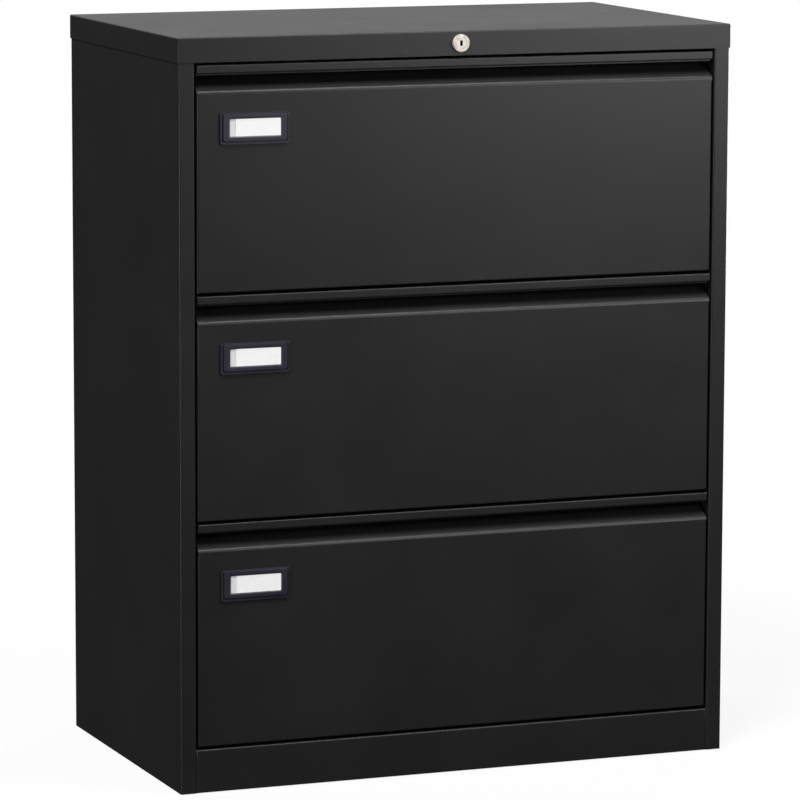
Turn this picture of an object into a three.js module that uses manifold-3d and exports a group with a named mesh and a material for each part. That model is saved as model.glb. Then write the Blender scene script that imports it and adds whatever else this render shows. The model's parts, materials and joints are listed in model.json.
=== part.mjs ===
// Lateral filing cabinet: a folded sheet-steel carcass with three full-extension drawers, each with
// a full-width finger pull folded into its front, and one lock that holds all the drawers.
// Millimetres, +Z up, the front faces -Y, and the origin is on the floor under the middle.

import * as THREE from 'three';
import { mergeVertices } from 'three/addons/utils/BufferGeometryUtils.js';
import Module from 'manifold-3d';

const wasm = await Module();
wasm.setup();

// Driving dimensions: carcass
const CABINET_WIDTH = 800; // over the top cap
const CABINET_DEPTH = 466; // over the top cap, without the lock
const CABINET_HEIGHT = 1016; // floor to the top of the cap
const SHEET = 1; // steel sheet of the carcass and drawers
const BEND = 1; // inside radius of a fold
const SEAT = 0.2; // gap between pieces that are welded or screwed together
const PLAY = 0.3; // gap between pieces that move against each other
const CAP_CLEARANCE = 0.4; // between the cap's skirt and the body
const CAP_SKIRT = 33; // height of the cap's skirt
const FRONT_FLANGE = 22; // width of the side panel's front flange
const RETURN_DEPTH = 60; // depth of the side panel's inner return
const REAR_FLANGE = 18; // width of the side panel's rear flange
const PANEL_FLANGE = 15; // stiffening flange of the back and bottom panels
const KICK_HEIGHT = 60; // floor to the top of the kick plate
const KICK_FOOT = 15; // depth of the kick plate's lower flange
const KICK_LAP = 15; // how far the kick plate's shelf lies over the bottom panel
const UPRIGHT_WIDTH = 40; // rear upright that carries the runners
const UPRIGHT_FOOT = 12; // weld flange of the upright
const WEIGHT_DEPTH = 70; // counterweight plate
const WEIGHT_THICKNESS = 22;
const WEIGHT_SETBACK = 25; // from the back panel and from the feet

// Driving dimensions: levelling feet
const FOOT_PROUD = 1; // the feet stand this far below the sheet edges
const FOOT_DIAMETER = 34;
const FOOT_PAD = 6;
const FOOT_STEM_DIAMETER = 10;
const FOOT_STEM_RISE = 2; // stem end above the kick plate's shelf
const FOOT_INSET = 45; // from the inside faces to the stem's axis
const FOOT_GAP = 3; // front pads behind the kick plate's lower flange

// Driving dimensions: drawers
const DRAWER_COUNT = 3;
const DRAWER_GAP = 4; // above and below each drawer front
const SIDE_GAP = 3.5; // beside each drawer front
const PULL_LIP = 11; // height of the lip that the fingers pull
const PULL_OPENING = 24.3; // finger gap between the lip and the face
const PULL_DEPTH = 32; // front face to the recess's back wall
const PULL_RISE = 20; // climb of the slope from the face to the back wall
const PULL_HEM = 7; // fold behind the lip's lower edge
const FRONT_SIDE_FLANGE = 18;
const FRONT_WELD_FLANGE = 30; // flange that is welded to the tray
const TRAY_LIFT = 12; // tray's floor above the front's lower edge
const TRAY_DROP = 9; // tray's walls below the front's upper edge
const TRAY_BACK_SPACE = 27; // tray to back panel
const TRAY_SIDE_HEIGHT = 130;
const TRAY_HEM = 10; // inward fold on the tray's sides
const HEM_LAP = 12; // height of the hem's own wall
const GUSSET_TOP = 25; // tray side's corner at its top, and how far it runs out below
const GUSSET_RUN = 70;
const RAIL_LEG = 25; // hanging-file rail: wall leg, step inwards and blade
const RAIL_STEP = 5;
const RAIL_BLADE = 14;
const RAIL_RISE = 5; // blade edge above the tray's walls
const RAIL_END_GAP = 2;

// Driving dimensions: runners
const RUNNER_WIDTH = 12.7; // cabinet face to drawer face
const RUNNER_HEIGHT = 45;
const RUNNER_SHEET = 1.2;
const RUNNER_BEND = 0.4;
const RUNNER_LIP = 4;
const RUNNER_PLAY = 0.4; // between the members
const RUNNER_LIFT = 70; // runner's centre above the drawer front's lower edge

// Driving dimensions: label holder
const LABEL_WIDTH = 97;
const LABEL_HEIGHT = 42;
const LABEL_PROJECTION = 5;
const LABEL_FLANGE = 2; // thickness of the outer step
const LABEL_STEP = 3.2; // width of the outer step
const LABEL_CORNER = 3;
const LABEL_INSET = 31.5; // from the drawer front's left edge
const LABEL_DROP = 28.5; // below the top of the face
const WINDOW_WIDTH = 71.7;
const WINDOW_HEIGHT = 23.3;
const WINDOW_DROP = 7.5; // below the holder's upper edge
const WINDOW_CORNER = 1;
const CARD_MARGIN = 3; // card past the window on every side
const CARD_THICKNESS = 0.4;
const CARD_STANDOFF = 0.4; // card to the drawer's face

// Driving dimensions: lock
const LOCK_PROJECTION = 4;
const LOCK_FACE_DIAMETER = 24;
const LOCK_BEVEL = 1.5;
const LOCK_BODY_DIAMETER = 19;
const PLUG_DIAMETER = 14;
const PLUG_RECESS = 0.4;
const KEYWAY_WIDTH = 2.6;
const KEYWAY_HEIGHT = 7.5;
const KEYWAY_DEPTH = 12;
const TAIL_SIDE = 7;
const NUT_THICKNESS = 5;
const NUT_GAP = 2.5; // round the nut, inside the front rail
const CAM_THICKNESS = 2.5;
const CAM_HUB = 7;
const CAM_TIP = 4.5;
const CAM_GAP = 1; // below the cam's tip at its lowest
const LOCK_PIN_DIAMETER = 4;
const LOCK_PLATE = 2; // thickness of the lock slide and the lock bar
const LOCK_LIFT = 10; // travel of the lock bar
const LOCK_GAP = 1; // between the cam, the slide and the bar
const SLOT_EDGE = 2.5; // plate left beside a slot
const SLIDE_TAIL = 20; // slide past the lock on the far side
const SLIDE_LIP = 16; // rail lip behind the slide
const LOCK_BAR_WIDTH = 14;
const LOCK_BAR_STANDOFF = 6; // bar to the side panel's return
const LOCK_BAR_END = 10; // bar below its lowest hook
const HOOK_HEIGHT = 12;
const HOOK_DROP = 1.5; // hook below its catch when unlocked
const HOOK_PLAY = 1.5; // hook to catch when locked
const HOOK_CLEARANCE = 3; // hook to the tray's side
const PIN_INSET = 5; // lock bar's pin inside the drawer opening's edge
const CATCH_SHEET = 2;
const CATCH_LIFT = 180; // above the drawer front's lower edge
const CATCH_LENGTH = 20;
const CATCH_INSET = 3; // behind the tray's front wall
const CATCH_CLEARANCE = 1.5; // to the drawer opening's edge
const GUIDE_HEIGHT = 20;
const GUIDE_FOOT = 8;
const GUIDE_BEND = 0.3;

// Fineness of round stretches
const FOLD_STEPS = 2;
const ROUND_STEPS = 32;
const MERGE_DISTANCE = 1e-4;
const CUT_MARGIN = 1; // how far a cutter runs past what it cuts

// Places worked out from the driving dimensions, with y counted from the body's front face
const capOverhang = SHEET + CAP_CLEARANCE;
const bodyHalf = CABINET_WIDTH / 2 - capOverhang;
const bodyDepth = CABINET_DEPTH - 2 * capOverhang;
const capBottom = CABINET_HEIGHT - CAP_SKIRT;
const panelTop = CABINET_HEIGHT - SHEET - SEAT;
const openHalf = bodyHalf - FRONT_FLANGE;
const wallHalf = bodyHalf - SHEET - SEAT;
const cornerHalf = wallHalf - BEND;
const backFace = bodyDepth - SHEET - SEAT;
const insideBack = backFace - SHEET;
const shelfTop = KICK_HEIGHT - SHEET - SEAT;
const shelfFront = RETURN_DEPTH + SEAT;

const drawerPitch = (capBottom - KICK_HEIGHT - DRAWER_GAP) / DRAWER_COUNT;
const drawerNumbers = Array.from({ length: DRAWER_COUNT }, (_, index) => index + 1);
const frontHeight = drawerPitch - DRAWER_GAP;
const frontHalf = openHalf - SIDE_GAP;
const faceTop = frontHeight - PULL_LIP - PULL_OPENING;
const trayFront = PULL_DEPTH + SHEET + SEAT;
const trayBack = insideBack - TRAY_BACK_SPACE;
const trayTop = frontHeight - TRAY_DROP;
const runnerSeat = openHalf - SEAT;
const trayHalf = runnerSeat - RUNNER_WIDTH - SEAT;
const runnerFront = trayFront + SHEET;

const frontFootY = KICK_FOOT + FOOT_GAP + FOOT_DIAMETER / 2;
const rearFootY = insideBack - FOOT_INSET;
const frontFootX = openHalf - FOOT_INSET;
const rearFootX = wallHalf - FOOT_INSET;

const lockHeight = CABINET_HEIGHT - CAP_SKIRT / 2;
const catchFront = trayFront + CATCH_INSET;
const hookBack = catchFront - HOOK_PLAY;
const hookFront = hookBack - LOCK_PLATE;
const slideBack = hookFront - LOCK_GAP;
const slideFront = slideBack - LOCK_PLATE;
const camBack = slideFront - LOCK_GAP;
const camFront = camBack - CAM_THICKNESS;
const housingBack = camFront - LOCK_GAP;
const railFront = SHEET + SEAT;
const railBack = slideBack + SEAT + SHEET;
const returnFace = openHalf + SHEET + SEAT;
const barInner = returnFace + LOCK_BAR_STANDOFF;
const barBack = hookFront + LOCK_BAR_WIDTH;
const hookInner = trayHalf + HOOK_CLEARANCE;

// The cam swings from 45 degrees on one side of straight down to 45 degrees on the other. Its pin
// moves the slide by a sine, so its slot is wider by what the sine strays from an even travel.
const camSwing = Math.PI / 4;
const camRadius = CAP_SKIRT / 2 - SHEET - CAM_GAP - CAM_TIP;
const lockThrow = 2 * camRadius * Math.sin(camSwing);
const evenTravel = Math.sin(camSwing) / camSwing;
const strayAngle = Math.acos(evenTravel);
const camStray = camRadius * (Math.sin(strayAngle) - evenTravel * strayAngle);
const camSlotWidth = LOCK_PIN_DIAMETER + 2 * (PLAY + camStray);
const barSlotWidth = LOCK_PIN_DIAMETER + 2 * PLAY;
const slideBottom = capBottom + SHEET + BEND;
const slideTop = slideBottom + LOCK_LIFT + barSlotWidth + 2 * SLOT_EDGE;
const barPinX = openHalf - PIN_INSET;
const barPinZ = slideBottom + SLOT_EDGE + barSlotWidth / 2;

// Finishes
const POWDER_COAT = { color: 0x1b1b1c, roughness: 0.55, metalness: 0.1 };
const ZINC_STEEL = { color: 0xb4b8bc, roughness: 0.35, metalness: 0.9 };
const NICKEL = { color: 0xcfcbc4, roughness: 0.18, metalness: 1 };
const BRASS = { color: 0xb59a55, roughness: 0.35, metalness: 0.9 };
const BLACK_PLASTIC = { color: 0x1a181c, roughness: 0.45, metalness: 0 };
const WHITE_CARD = { color: 0xf4f4f2, roughness: 0.85, metalness: 0 };
const RAW_IRON = { color: 0x3a3b3d, roughness: 0.7, metalness: 0.6 };

// Lower edge of a drawer front above the floor, with drawer 1 at the top.
function drawerBottom(number) {
  return KICK_HEIGHT + DRAWER_GAP + (DRAWER_COUNT - number) * drawerPitch;
}

// Top of the hook that holds a drawer, with the lock open.
function hookTop(number) {
  return drawerBottom(number) + CATCH_LIFT - HOOK_DROP;
}

// A closed solid that can be joined and cut, from a geometry's corners.
function solidOf(geometry) {
  const bare = new THREE.BufferGeometry();
  bare.setAttribute('position', geometry.attributes.position);
  bare.setIndex(geometry.index);
  const merged = mergeVertices(bare, MERGE_DISTANCE);
  const corners = merged.index.array;
  const triVerts = [];
  for (let i = 0; i < corners.length; i += 3) {
    const [a, b, c] = corners.slice(i, i + 3);
    if (a !== b && b !== c && c !== a) {
      triVerts.push(a, b, c);
    }
  }
  return new wasm.Manifold(new wasm.Mesh({
    numProp: 3,
    vertProperties: new Float32Array(merged.attributes.position.array),
    triVerts: new Uint32Array(triVerts),
  }));
}

// A named mesh with a material of its own.
function piece(name, solid, finish) {
  const { vertProperties, triVerts } = solid.getMesh();
  const geometry = new THREE.BufferGeometry();
  geometry.setAttribute('position', new THREE.BufferAttribute(vertProperties, 3));
  geometry.setIndex(new THREE.BufferAttribute(triVerts, 1));
  geometry.computeVertexNormals();
  const mesh = new THREE.Mesh(geometry, new THREE.MeshStandardMaterial(finish));
  mesh.name = name;
  return mesh;
}

function extrusion(shape, length) {
  return new THREE.ExtrudeGeometry(shape, { depth: length, bevelEnabled: false, curveSegments: FOLD_STEPS });
}

// A shape drawn in (y, z), run along X.
function extrudeX(shape, from, to) {
  const turn = new THREE.Matrix4().makeBasis(
    new THREE.Vector3(0, 1, 0), new THREE.Vector3(0, 0, 1), new THREE.Vector3(1, 0, 0));
  return solidOf(extrusion(shape, to - from).applyMatrix4(turn).translate(from, 0, 0));
}

// A shape drawn in (x, z), run along Y.
function extrudeY(shape, from, to) {
  const turn = new THREE.Matrix4().makeBasis(
    new THREE.Vector3(1, 0, 0), new THREE.Vector3(0, 0, 1), new THREE.Vector3(0, -1, 0));
  return solidOf(extrusion(shape, to - from).applyMatrix4(turn).translate(0, to, 0));
}

// A shape drawn in (x, y), run along Z.
function extrudeZ(shape, from, to) {
  return solidOf(extrusion(shape, to - from).translate(0, 0, from));
}

// A block between two limits on each axis, given in either order.
function block(x, y, z) {
  const geometry = new THREE.BoxGeometry(
    Math.abs(x[1] - x[0]), Math.abs(y[1] - y[0]), Math.abs(z[1] - z[0]));
  geometry.translate((x[0] + x[1]) / 2, (y[0] + y[1]) / 2, (z[0] + z[1]) / 2);
  return solidOf(geometry);
}

// A round bar along Y.
function roundY(diameter, x, z, from, to) {
  const geometry = new THREE.CylinderGeometry(diameter / 2, diameter / 2, to - from, ROUND_STEPS);
  geometry.translate(x, (from + to) / 2, z);
  return solidOf(geometry);
}

// A profile of [radius, height] points turned about the Y axis.
function turned(profile) {
  return new THREE.LatheGeometry(profile.map(([radius, along]) => new THREE.Vector2(radius, along)), ROUND_STEPS);
}

function rectangle(x, z, corner) {
  const [left, right] = x;
  const [low, high] = z;
  const shape = new THREE.Shape();
  shape.moveTo(left + corner, low);
  shape.absarc(right - corner, low + corner, corner, -Math.PI / 2, 0, false);
  shape.absarc(right - corner, high - corner, corner, 0, Math.PI / 2, false);
  shape.absarc(left + corner, high - corner, corner, Math.PI / 2, Math.PI, false);
  shape.absarc(left + corner, low + corner, corner, Math.PI, 1.5 * Math.PI, false);
  return shape;
}

// A slot with round ends between two points.
function slot(from, to, width) {
  const start = new THREE.Vector2(...from);
  const end = new THREE.Vector2(...to);
  const heading = end.clone().sub(start).angle();
  const path = new THREE.Path();
  path.absarc(end.x, end.y, width / 2, heading - Math.PI / 2, heading + Math.PI / 2, false);
  path.absarc(start.x, start.y, width / 2, heading + Math.PI / 2, heading + 1.5 * Math.PI, false);
  path.closePath();
  return path;
}

// The line at a distance to the left of a line of points.
function offsetLine(line, distance) {
  const normals = line.slice(1).map((point, i) => {
    const along = point.clone().sub(line[i]).normalize();
    return new THREE.Vector2(-along.y, along.x);
  });
  return line.map((point, i) => {
    const before = normals[Math.max(i - 1, 0)];
    const after = normals[Math.min(i, normals.length - 1)];
    const reach = distance / (1 + before.dot(after));
    return point.clone().addScaledVector(before.clone().add(after), reach);
  });
}

// Follows a line of points and rounds each of its corners: by the bend radius where the line is on
// the inside of the fold, and by the bend radius and the sheet where it is on the outside.
function traceFolds(shape, line, thickness, bend) {
  for (let i = 1; i < line.length - 1; i += 1) {
    const along = line[i].clone().sub(line[i - 1]).normalize();
    const onward = line[i + 1].clone().sub(line[i]).normalize();
    const turn = Math.sign(along.cross(onward));
    const outside = turn * thickness > 0;
    const radius = outside ? bend + Math.abs(thickness) : bend;
    const angle = Math.acos(along.dot(onward));
    const start = line[i].clone().addScaledVector(along, -radius * Math.tan(angle / 2));
    const centre = start.clone().add(new THREE.Vector2(-along.y, along.x).multiplyScalar(turn * radius));
    const from = start.sub(centre).angle();
    shape.absarc(centre.x, centre.y, radius, from, from + turn * angle, turn < 0);
  }
  const last = line[line.length - 1];
  shape.lineTo(last.x, last.y);
}

// The section of a sheet folded along a line of corner points. The sheet lies to the left of the
// line where its thickness is positive, and to the right where it is negative.
function foldedSheet(points, thickness, bend = BEND) {
  const near = points.map(([a, b]) => new THREE.Vector2(a, b));
  const far = offsetLine(near, thickness).reverse();
  const shape = new THREE.Shape();
  shape.moveTo(near[0].x, near[0].y);
  traceFolds(shape, near, thickness, bend);
  shape.lineTo(far[0].x, far[0].y);
  traceFolds(shape, far, thickness, bend);
  shape.closePath();
  return shape;
}

// Side panel: inner return, front flange, wall and rear flange in one sheet. The return stops below
// the cap, and the right one has slots for the lock bar's hooks.
function sidePanel(side) {
  const section = foldedSheet([
    [side * openHalf, RETURN_DEPTH],
    [side * openHalf, 0],
    [side * bodyHalf, 0],
    [side * bodyHalf, bodyDepth],
    [side * (bodyHalf - REAR_FLANGE), bodyDepth],
  ], side * SHEET);
  const returnX = [side * (openHalf - CUT_MARGIN), side * (openHalf + SHEET + BEND)];
  let panel = extrudeZ(section, FOOT_PROUD, panelTop);
  panel = panel.subtract(block(
    returnX, [SHEET, RETURN_DEPTH + CUT_MARGIN], [capBottom - SEAT, panelTop + CUT_MARGIN]));
  if (side > 0) {
    for (const number of drawerNumbers) {
      const top = hookTop(number) + LOCK_LIFT + HOOK_DROP;
      const bottom = hookTop(number) - HOOK_HEIGHT - HOOK_DROP;
      panel = panel.subtract(block(returnX, [hookFront - PLAY, hookBack + BEND + PLAY], [bottom, top]));
    }
  }
  return panel;
}

// Back panel with a flange at its top and bottom, inside the side panels' rear flanges.
function backPanel() {
  const section = foldedSheet([
    [backFace - PANEL_FLANGE, FOOT_PROUD],
    [backFace, FOOT_PROUD],
    [backFace, panelTop],
    [backFace - PANEL_FLANGE, panelTop],
  ], SHEET);
  return extrudeX(section, -cornerHalf, cornerHalf);
}

// Bottom panel with a flange down each side, and holes for the rear feet's stems.
function bottomPanel() {
  const section = foldedSheet([
    [wallHalf, shelfTop - PANEL_FLANGE],
    [wallHalf, shelfTop],
    [-wallHalf, shelfTop],
    [-wallHalf, shelfTop - PANEL_FLANGE],
  ], SHEET);
  return drilledForFeet(extrudeY(section, shelfFront, insideBack - SEAT), rearFootX, rearFootY);
}

// Kick plate: lower flange, face, and a shelf that laps over the bottom panel.
function kickPlate() {
  const section = foldedSheet([
    [shelfFront + KICK_LAP, KICK_HEIGHT],
    [0, KICK_HEIGHT],
    [0, FOOT_PROUD],
    [KICK_FOOT, FOOT_PROUD],
  ], SHEET);
  return drilledForFeet(extrudeX(section, PLAY - openHalf, openHalf - PLAY), frontFootX, frontFootY);
}

// A stem hole on each side through a level sheet.
function drilledForFeet(sheet, x, y) {
  const bore = new THREE.CylinderGeometry(
    FOOT_STEM_DIAMETER / 2 + PLAY, FOOT_STEM_DIAMETER / 2 + PLAY, PANEL_FLANGE, ROUND_STEPS);
  bore.rotateX(Math.PI / 2);
  const left = solidOf(bore.clone().translate(-x, y, KICK_HEIGHT));
  const right = solidOf(bore.clone().translate(x, y, KICK_HEIGHT));
  return sheet.subtract(left).subtract(right);
}

// Levelling foot: a round pad and its stem, standing on the floor.
function foot() {
  const pad = FOOT_DIAMETER / 2;
  const stem = FOOT_STEM_DIAMETER / 2;
  const profile = turned([
    [0, 0],
    [pad - SHEET, 0],
    [pad, SHEET],
    [pad, FOOT_PAD / 2],
    [stem + SHEET, FOOT_PAD],
    [stem, FOOT_PAD + SHEET],
    [stem, KICK_HEIGHT + FOOT_STEM_RISE],
    [0, KICK_HEIGHT + FOOT_STEM_RISE],
  ]);
  return solidOf(profile.rotateX(Math.PI / 2));
}

// Top cap: a lid with a skirt all round, its upper edges and corners rounded by the folds, and a
// hole for the lock in its front skirt.
function topCap() {
  const radius = BEND + SHEET;
  const x = [-CABINET_WIDTH / 2, CABINET_WIDTH / 2];
  const y = [-capOverhang, bodyDepth + capOverhang];
  const outline = rectangle([x[0] + radius, x[1] - radius], [y[0] + radius, y[1] - radius], SHEET / 2);
  const lid = new THREE.ExtrudeGeometry(outline, {
    depth: CAP_SKIRT,
    bevelEnabled: true,
    bevelSize: radius,
    bevelThickness: radius,
    bevelSegments: 2 * FOLD_STEPS,
    curveSegments: FOLD_STEPS,
  });
  lid.translate(0, 0, capBottom - radius);
  const below = block(
    [x[0] - CUT_MARGIN, x[1] + CUT_MARGIN], [y[0] - CUT_MARGIN, y[1] + CUT_MARGIN],
    [capBottom - 2 * radius - CUT_MARGIN, capBottom]);
  const hollow = block(
    [x[0] + SHEET, x[1] - SHEET], [y[0] + SHEET, y[1] - SHEET],
    [capBottom - CUT_MARGIN, CABINET_HEIGHT - SHEET]);
  return solidOf(lid).subtract(below).subtract(hollow).subtract(lockHole(-capOverhang, 0));
}

// Bore for the lock's body through a sheet between two depths.
function lockHole(from, to) {
  return roundY(LOCK_BODY_DIAMETER + 2 * PLAY, 0, lockHeight, from - CUT_MARGIN, to + CUT_MARGIN);
}

// Front rail under the cap: it carries the lock, and the lock slide runs on its lower flange, in
// front of its lip. The flange is cut away at the ends, where the lock bar comes up.
function frontRail() {
  const section = foldedSheet([
    [railBack, panelTop],
    [railFront, panelTop],
    [railFront, capBottom],
    [railBack, capBottom],
    [railBack, capBottom + SLIDE_LIP],
  ], SHEET);
  let rail = extrudeX(section, -cornerHalf, cornerHalf).subtract(lockHole(railFront, railFront + SHEET));
  for (const side of [-1, 1]) {
    const x = [side * trayHalf, side * (cornerHalf + CUT_MARGIN)];
    const y = [railFront + SHEET + BEND, railBack + CUT_MARGIN];
    rail = rail.subtract(block(x, y, [capBottom - CUT_MARGIN, capBottom + SLIDE_LIP + CUT_MARGIN]));
  }
  return rail;
}

// Rear upright: a hat section on the side wall, level with the front return, for the runners.
function rearUpright(side) {
  const wall = wallHalf - SHEET;
  const from = trayBack - UPRIGHT_WIDTH;
  const section = foldedSheet([
    [side * wall, from - UPRIGHT_FOOT],
    [side * wall, from],
    [side * openHalf, from],
    [side * openHalf, trayBack],
    [side * wall, trayBack],
    [side * wall, trayBack + UPRIGHT_FOOT],
  ], -side * SHEET);
  return extrudeZ(section, shelfTop + SEAT, panelTop);
}

// Counterweight under the bottom panel, between the rear feet.
function counterweight() {
  const half = rearFootX - FOOT_DIAMETER / 2 - WEIGHT_SETBACK;
  const back = insideBack - WEIGHT_SETBACK;
  const top = shelfTop - SHEET - SEAT;
  const outline = rectangle([-half, half], [back - WEIGHT_DEPTH, back], FOOT_PAD);
  return extrudeZ(outline, top - WEIGHT_THICKNESS, top);
}

// Points of a runner section on one side, from the depth inside the cabinet's runner face and the
// height about the runner's centre. Drawn so, the right-hand section is the left-hand one mirrored.
function runnerSection(side, points, thickness) {
  const placed = points.map(([depth, height]) => [side * (runnerSeat - depth), height]);
  return foldedSheet(placed, -side * thickness, RUNNER_BEND);
}

const middleWeb = RUNNER_SHEET + RUNNER_PLAY;
const middleEdge = RUNNER_WIDTH - RUNNER_SHEET - RUNNER_PLAY;
const cabinetHalf = RUNNER_HEIGHT / 2;
const middleHalf = cabinetHalf - RUNNER_LIP - RUNNER_PLAY;
const innerHalf = middleHalf - RUNNER_LIP - RUNNER_PLAY;

// Outer member, fixed to the cabinet: a lipped channel.
function cabinetRunner(side) {
  const section = runnerSection(side, [
    [middleEdge, RUNNER_LIP - cabinetHalf],
    [middleEdge, -cabinetHalf],
    [0, -cabinetHalf],
    [0, cabinetHalf],
    [middleEdge, cabinetHalf],
    [middleEdge, cabinetHalf - RUNNER_LIP],
  ], -RUNNER_SHEET);
  return extrudeY(section, runnerFront, trayBack);
}

// Middle member: a smaller lipped channel with a ball cage on each side of its flanges.
function middleRunner(side) {
  const section = runnerSection(side, [
    [middleEdge, RUNNER_LIP - middleHalf],
    [middleEdge, -middleHalf],
    [middleWeb, -middleHalf],
    [middleWeb, middleHalf],
    [middleEdge, middleHalf],
    [middleEdge, middleHalf - RUNNER_LIP],
  ], -RUNNER_SHEET);
  const cageDepth = [middleWeb + RUNNER_SHEET + RUNNER_PLAY, middleEdge - RUNNER_SHEET - RUNNER_PLAY];
  const cageX = cageDepth.map((depth) => side * (runnerSeat - depth));
  const cageTop = cabinetHalf - RUNNER_SHEET - RUNNER_PLAY;
  let member = extrudeY(section, runnerFront, trayBack);
  for (const way of [-1, 1]) {
    const cage = [way * (innerHalf + RUNNER_PLAY), way * cageTop];
    member = member.add(block(cageX, [runnerFront, trayBack], cage));
  }
  return member;
}

// Inner member, fixed to the tray: a plain channel that faces the other way.
function drawerRunner(side) {
  const section = runnerSection(side, [
    [middleWeb + RUNNER_SHEET + RUNNER_PLAY, -innerHalf],
    [RUNNER_WIDTH, -innerHalf],
    [RUNNER_WIDTH, innerHalf],
    [middleWeb + RUNNER_SHEET + RUNNER_PLAY, innerHalf],
  ], RUNNER_SHEET);
  return extrudeY(section, runnerFront, trayBack);
}

// Drawer front: one sheet folded from the weld flange at its foot, through the face, the slope and
// back wall of the finger recess, to the lip that the fingers pull. The face also folds back at its
// sides, and the recess is open at both ends.
function drawerFront() {
  const back = PULL_DEPTH + SHEET;
  const lipBottom = frontHeight - PULL_LIP;
  const section = foldedSheet([
    [back, FRONT_WELD_FLANGE],
    [back, 0],
    [0, 0],
    [0, faceTop],
    [PULL_DEPTH, faceTop + PULL_RISE],
    [PULL_DEPTH, frontHeight - SHEET],
    [SHEET, frontHeight - SHEET],
    [SHEET, lipBottom + SHEET],
    [PULL_HEM, lipBottom + SHEET],
  ], -SHEET);
  let front = extrudeX(section, -frontHalf, frontHalf);
  for (const side of [-1, 1]) {
    const fold = foldedSheet([
      [side * frontHalf, FRONT_SIDE_FLANGE],
      [side * frontHalf, 0],
      [side * (frontHalf - FRONT_SIDE_FLANGE), 0],
    ], -side * SHEET);
    const flange = extrudeZ(fold, BEND + SHEET, faceTop - BEND);
    front = front.subtract(outerCorner(side)).add(flange);
  }
  return front;
}

// What a side fold takes off the face's square corner.
function outerCorner(side) {
  const radius = BEND + SHEET;
  const centre = side * (frontHalf - radius);
  const past = side * (frontHalf + CUT_MARGIN);
  const shape = new THREE.Shape();
  shape.moveTo(centre, -CUT_MARGIN);
  shape.lineTo(past, -CUT_MARGIN);
  shape.lineTo(past, radius);
  const [from, to] = side > 0 ? [0, -Math.PI / 2] : [Math.PI, 1.5 * Math.PI];
  shape.absarc(centre, radius, radius, from, to, side > 0);
  shape.closePath();
  return extrudeZ(shape, -CUT_MARGIN, faceTop);
}

// Tray: floor, front wall and rear wall folded in one, with lower sides that rise to the walls at
// the corners and have a hem folded inwards.
function tray() {
  const sideTop = TRAY_LIFT + TRAY_SIDE_HEIGHT;
  const plateTop = sideTop - HEM_LAP / 2;
  const floorAndWalls = foldedSheet([
    [trayFront, trayTop],
    [trayFront, TRAY_LIFT],
    [trayBack, TRAY_LIFT],
    [trayBack, trayTop],
  ], SHEET);
  const plate = new THREE.Shape([
    [trayFront, TRAY_LIFT + BEND + SHEET],
    [trayFront + BEND + SHEET, TRAY_LIFT],
    [trayBack - BEND - SHEET, TRAY_LIFT],
    [trayBack, TRAY_LIFT + BEND + SHEET],
    [trayBack, trayTop],
    [trayBack - GUSSET_TOP, trayTop],
    [trayBack - GUSSET_TOP - GUSSET_RUN, plateTop],
    [trayFront + GUSSET_TOP + GUSSET_RUN, plateTop],
    [trayFront + GUSSET_TOP, trayTop],
    [trayFront, trayTop],
  ].map(([y, z]) => new THREE.Vector2(y, z)));
  let body = extrudeX(floorAndWalls, -trayHalf, trayHalf);
  for (const side of [-1, 1]) {
    const wall = [side * trayHalf, side * (trayHalf - SHEET)].sort((a, b) => a - b);
    const hem = foldedSheet([
      [side * trayHalf, sideTop - HEM_LAP],
      [side * trayHalf, sideTop],
      [side * (trayHalf - TRAY_HEM), sideTop],
    ], side * SHEET);
    const hemRun = [trayFront + GUSSET_TOP + GUSSET_RUN, trayBack - GUSSET_TOP - GUSSET_RUN];
    body = body.add(extrudeX(plate, ...wall)).add(extrudeY(hem, ...hemRun));
  }
  return body;
}

// Hanging-file rail: a strip with a leg on the tray's wall, a step inwards and an upright blade for
// the file hooks. The way is 1 on the front wall and -1 on the rear wall.
function fileRail(way) {
  const wall = way > 0 ? trayFront + SHEET + SEAT : trayBack - SHEET - SEAT;
  const edge = trayTop + RAIL_RISE;
  const step = edge - RAIL_BLADE;
  const section = foldedSheet([
    [wall, step - RAIL_LEG],
    [wall, step],
    [wall + way * (RAIL_STEP + SHEET), step],
    [wall + way * (RAIL_STEP + SHEET), edge],
  ], -way * SHEET);
  const half = trayHalf - SHEET - RAIL_END_GAP;
  return extrudeX(section, -half, half);
}

// Lock catch: an angle on the tray's right side, with a tab that the hook stops.
function lockCatch() {
  const section = foldedSheet([
    [trayHalf + SEAT, catchFront + CATCH_LENGTH],
    [trayHalf + SEAT, catchFront],
    [openHalf - CATCH_CLEARANCE, catchFront],
  ], CATCH_SHEET);
  return extrudeZ(section, CATCH_LIFT, CATCH_LIFT + HOOK_HEIGHT);
}

const labelLeft = LABEL_INSET - frontHalf;
const labelTop = faceTop - LABEL_DROP;
const labelX = [labelLeft, labelLeft + LABEL_WIDTH];
const labelZ = [labelTop - LABEL_HEIGHT, labelTop];
const windowLeft = labelLeft + (LABEL_WIDTH - WINDOW_WIDTH) / 2;
const windowX = [windowLeft, windowLeft + WINDOW_WIDTH];
const windowZ = [labelTop - WINDOW_DROP - WINDOW_HEIGHT, labelTop - WINDOW_DROP];
const cardFront = CARD_STANDOFF + CARD_THICKNESS;

// The limits of a rectangle grown by a margin on both sides.
function grown([low, high], margin) {
  return [low - margin, high + margin];
}

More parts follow.
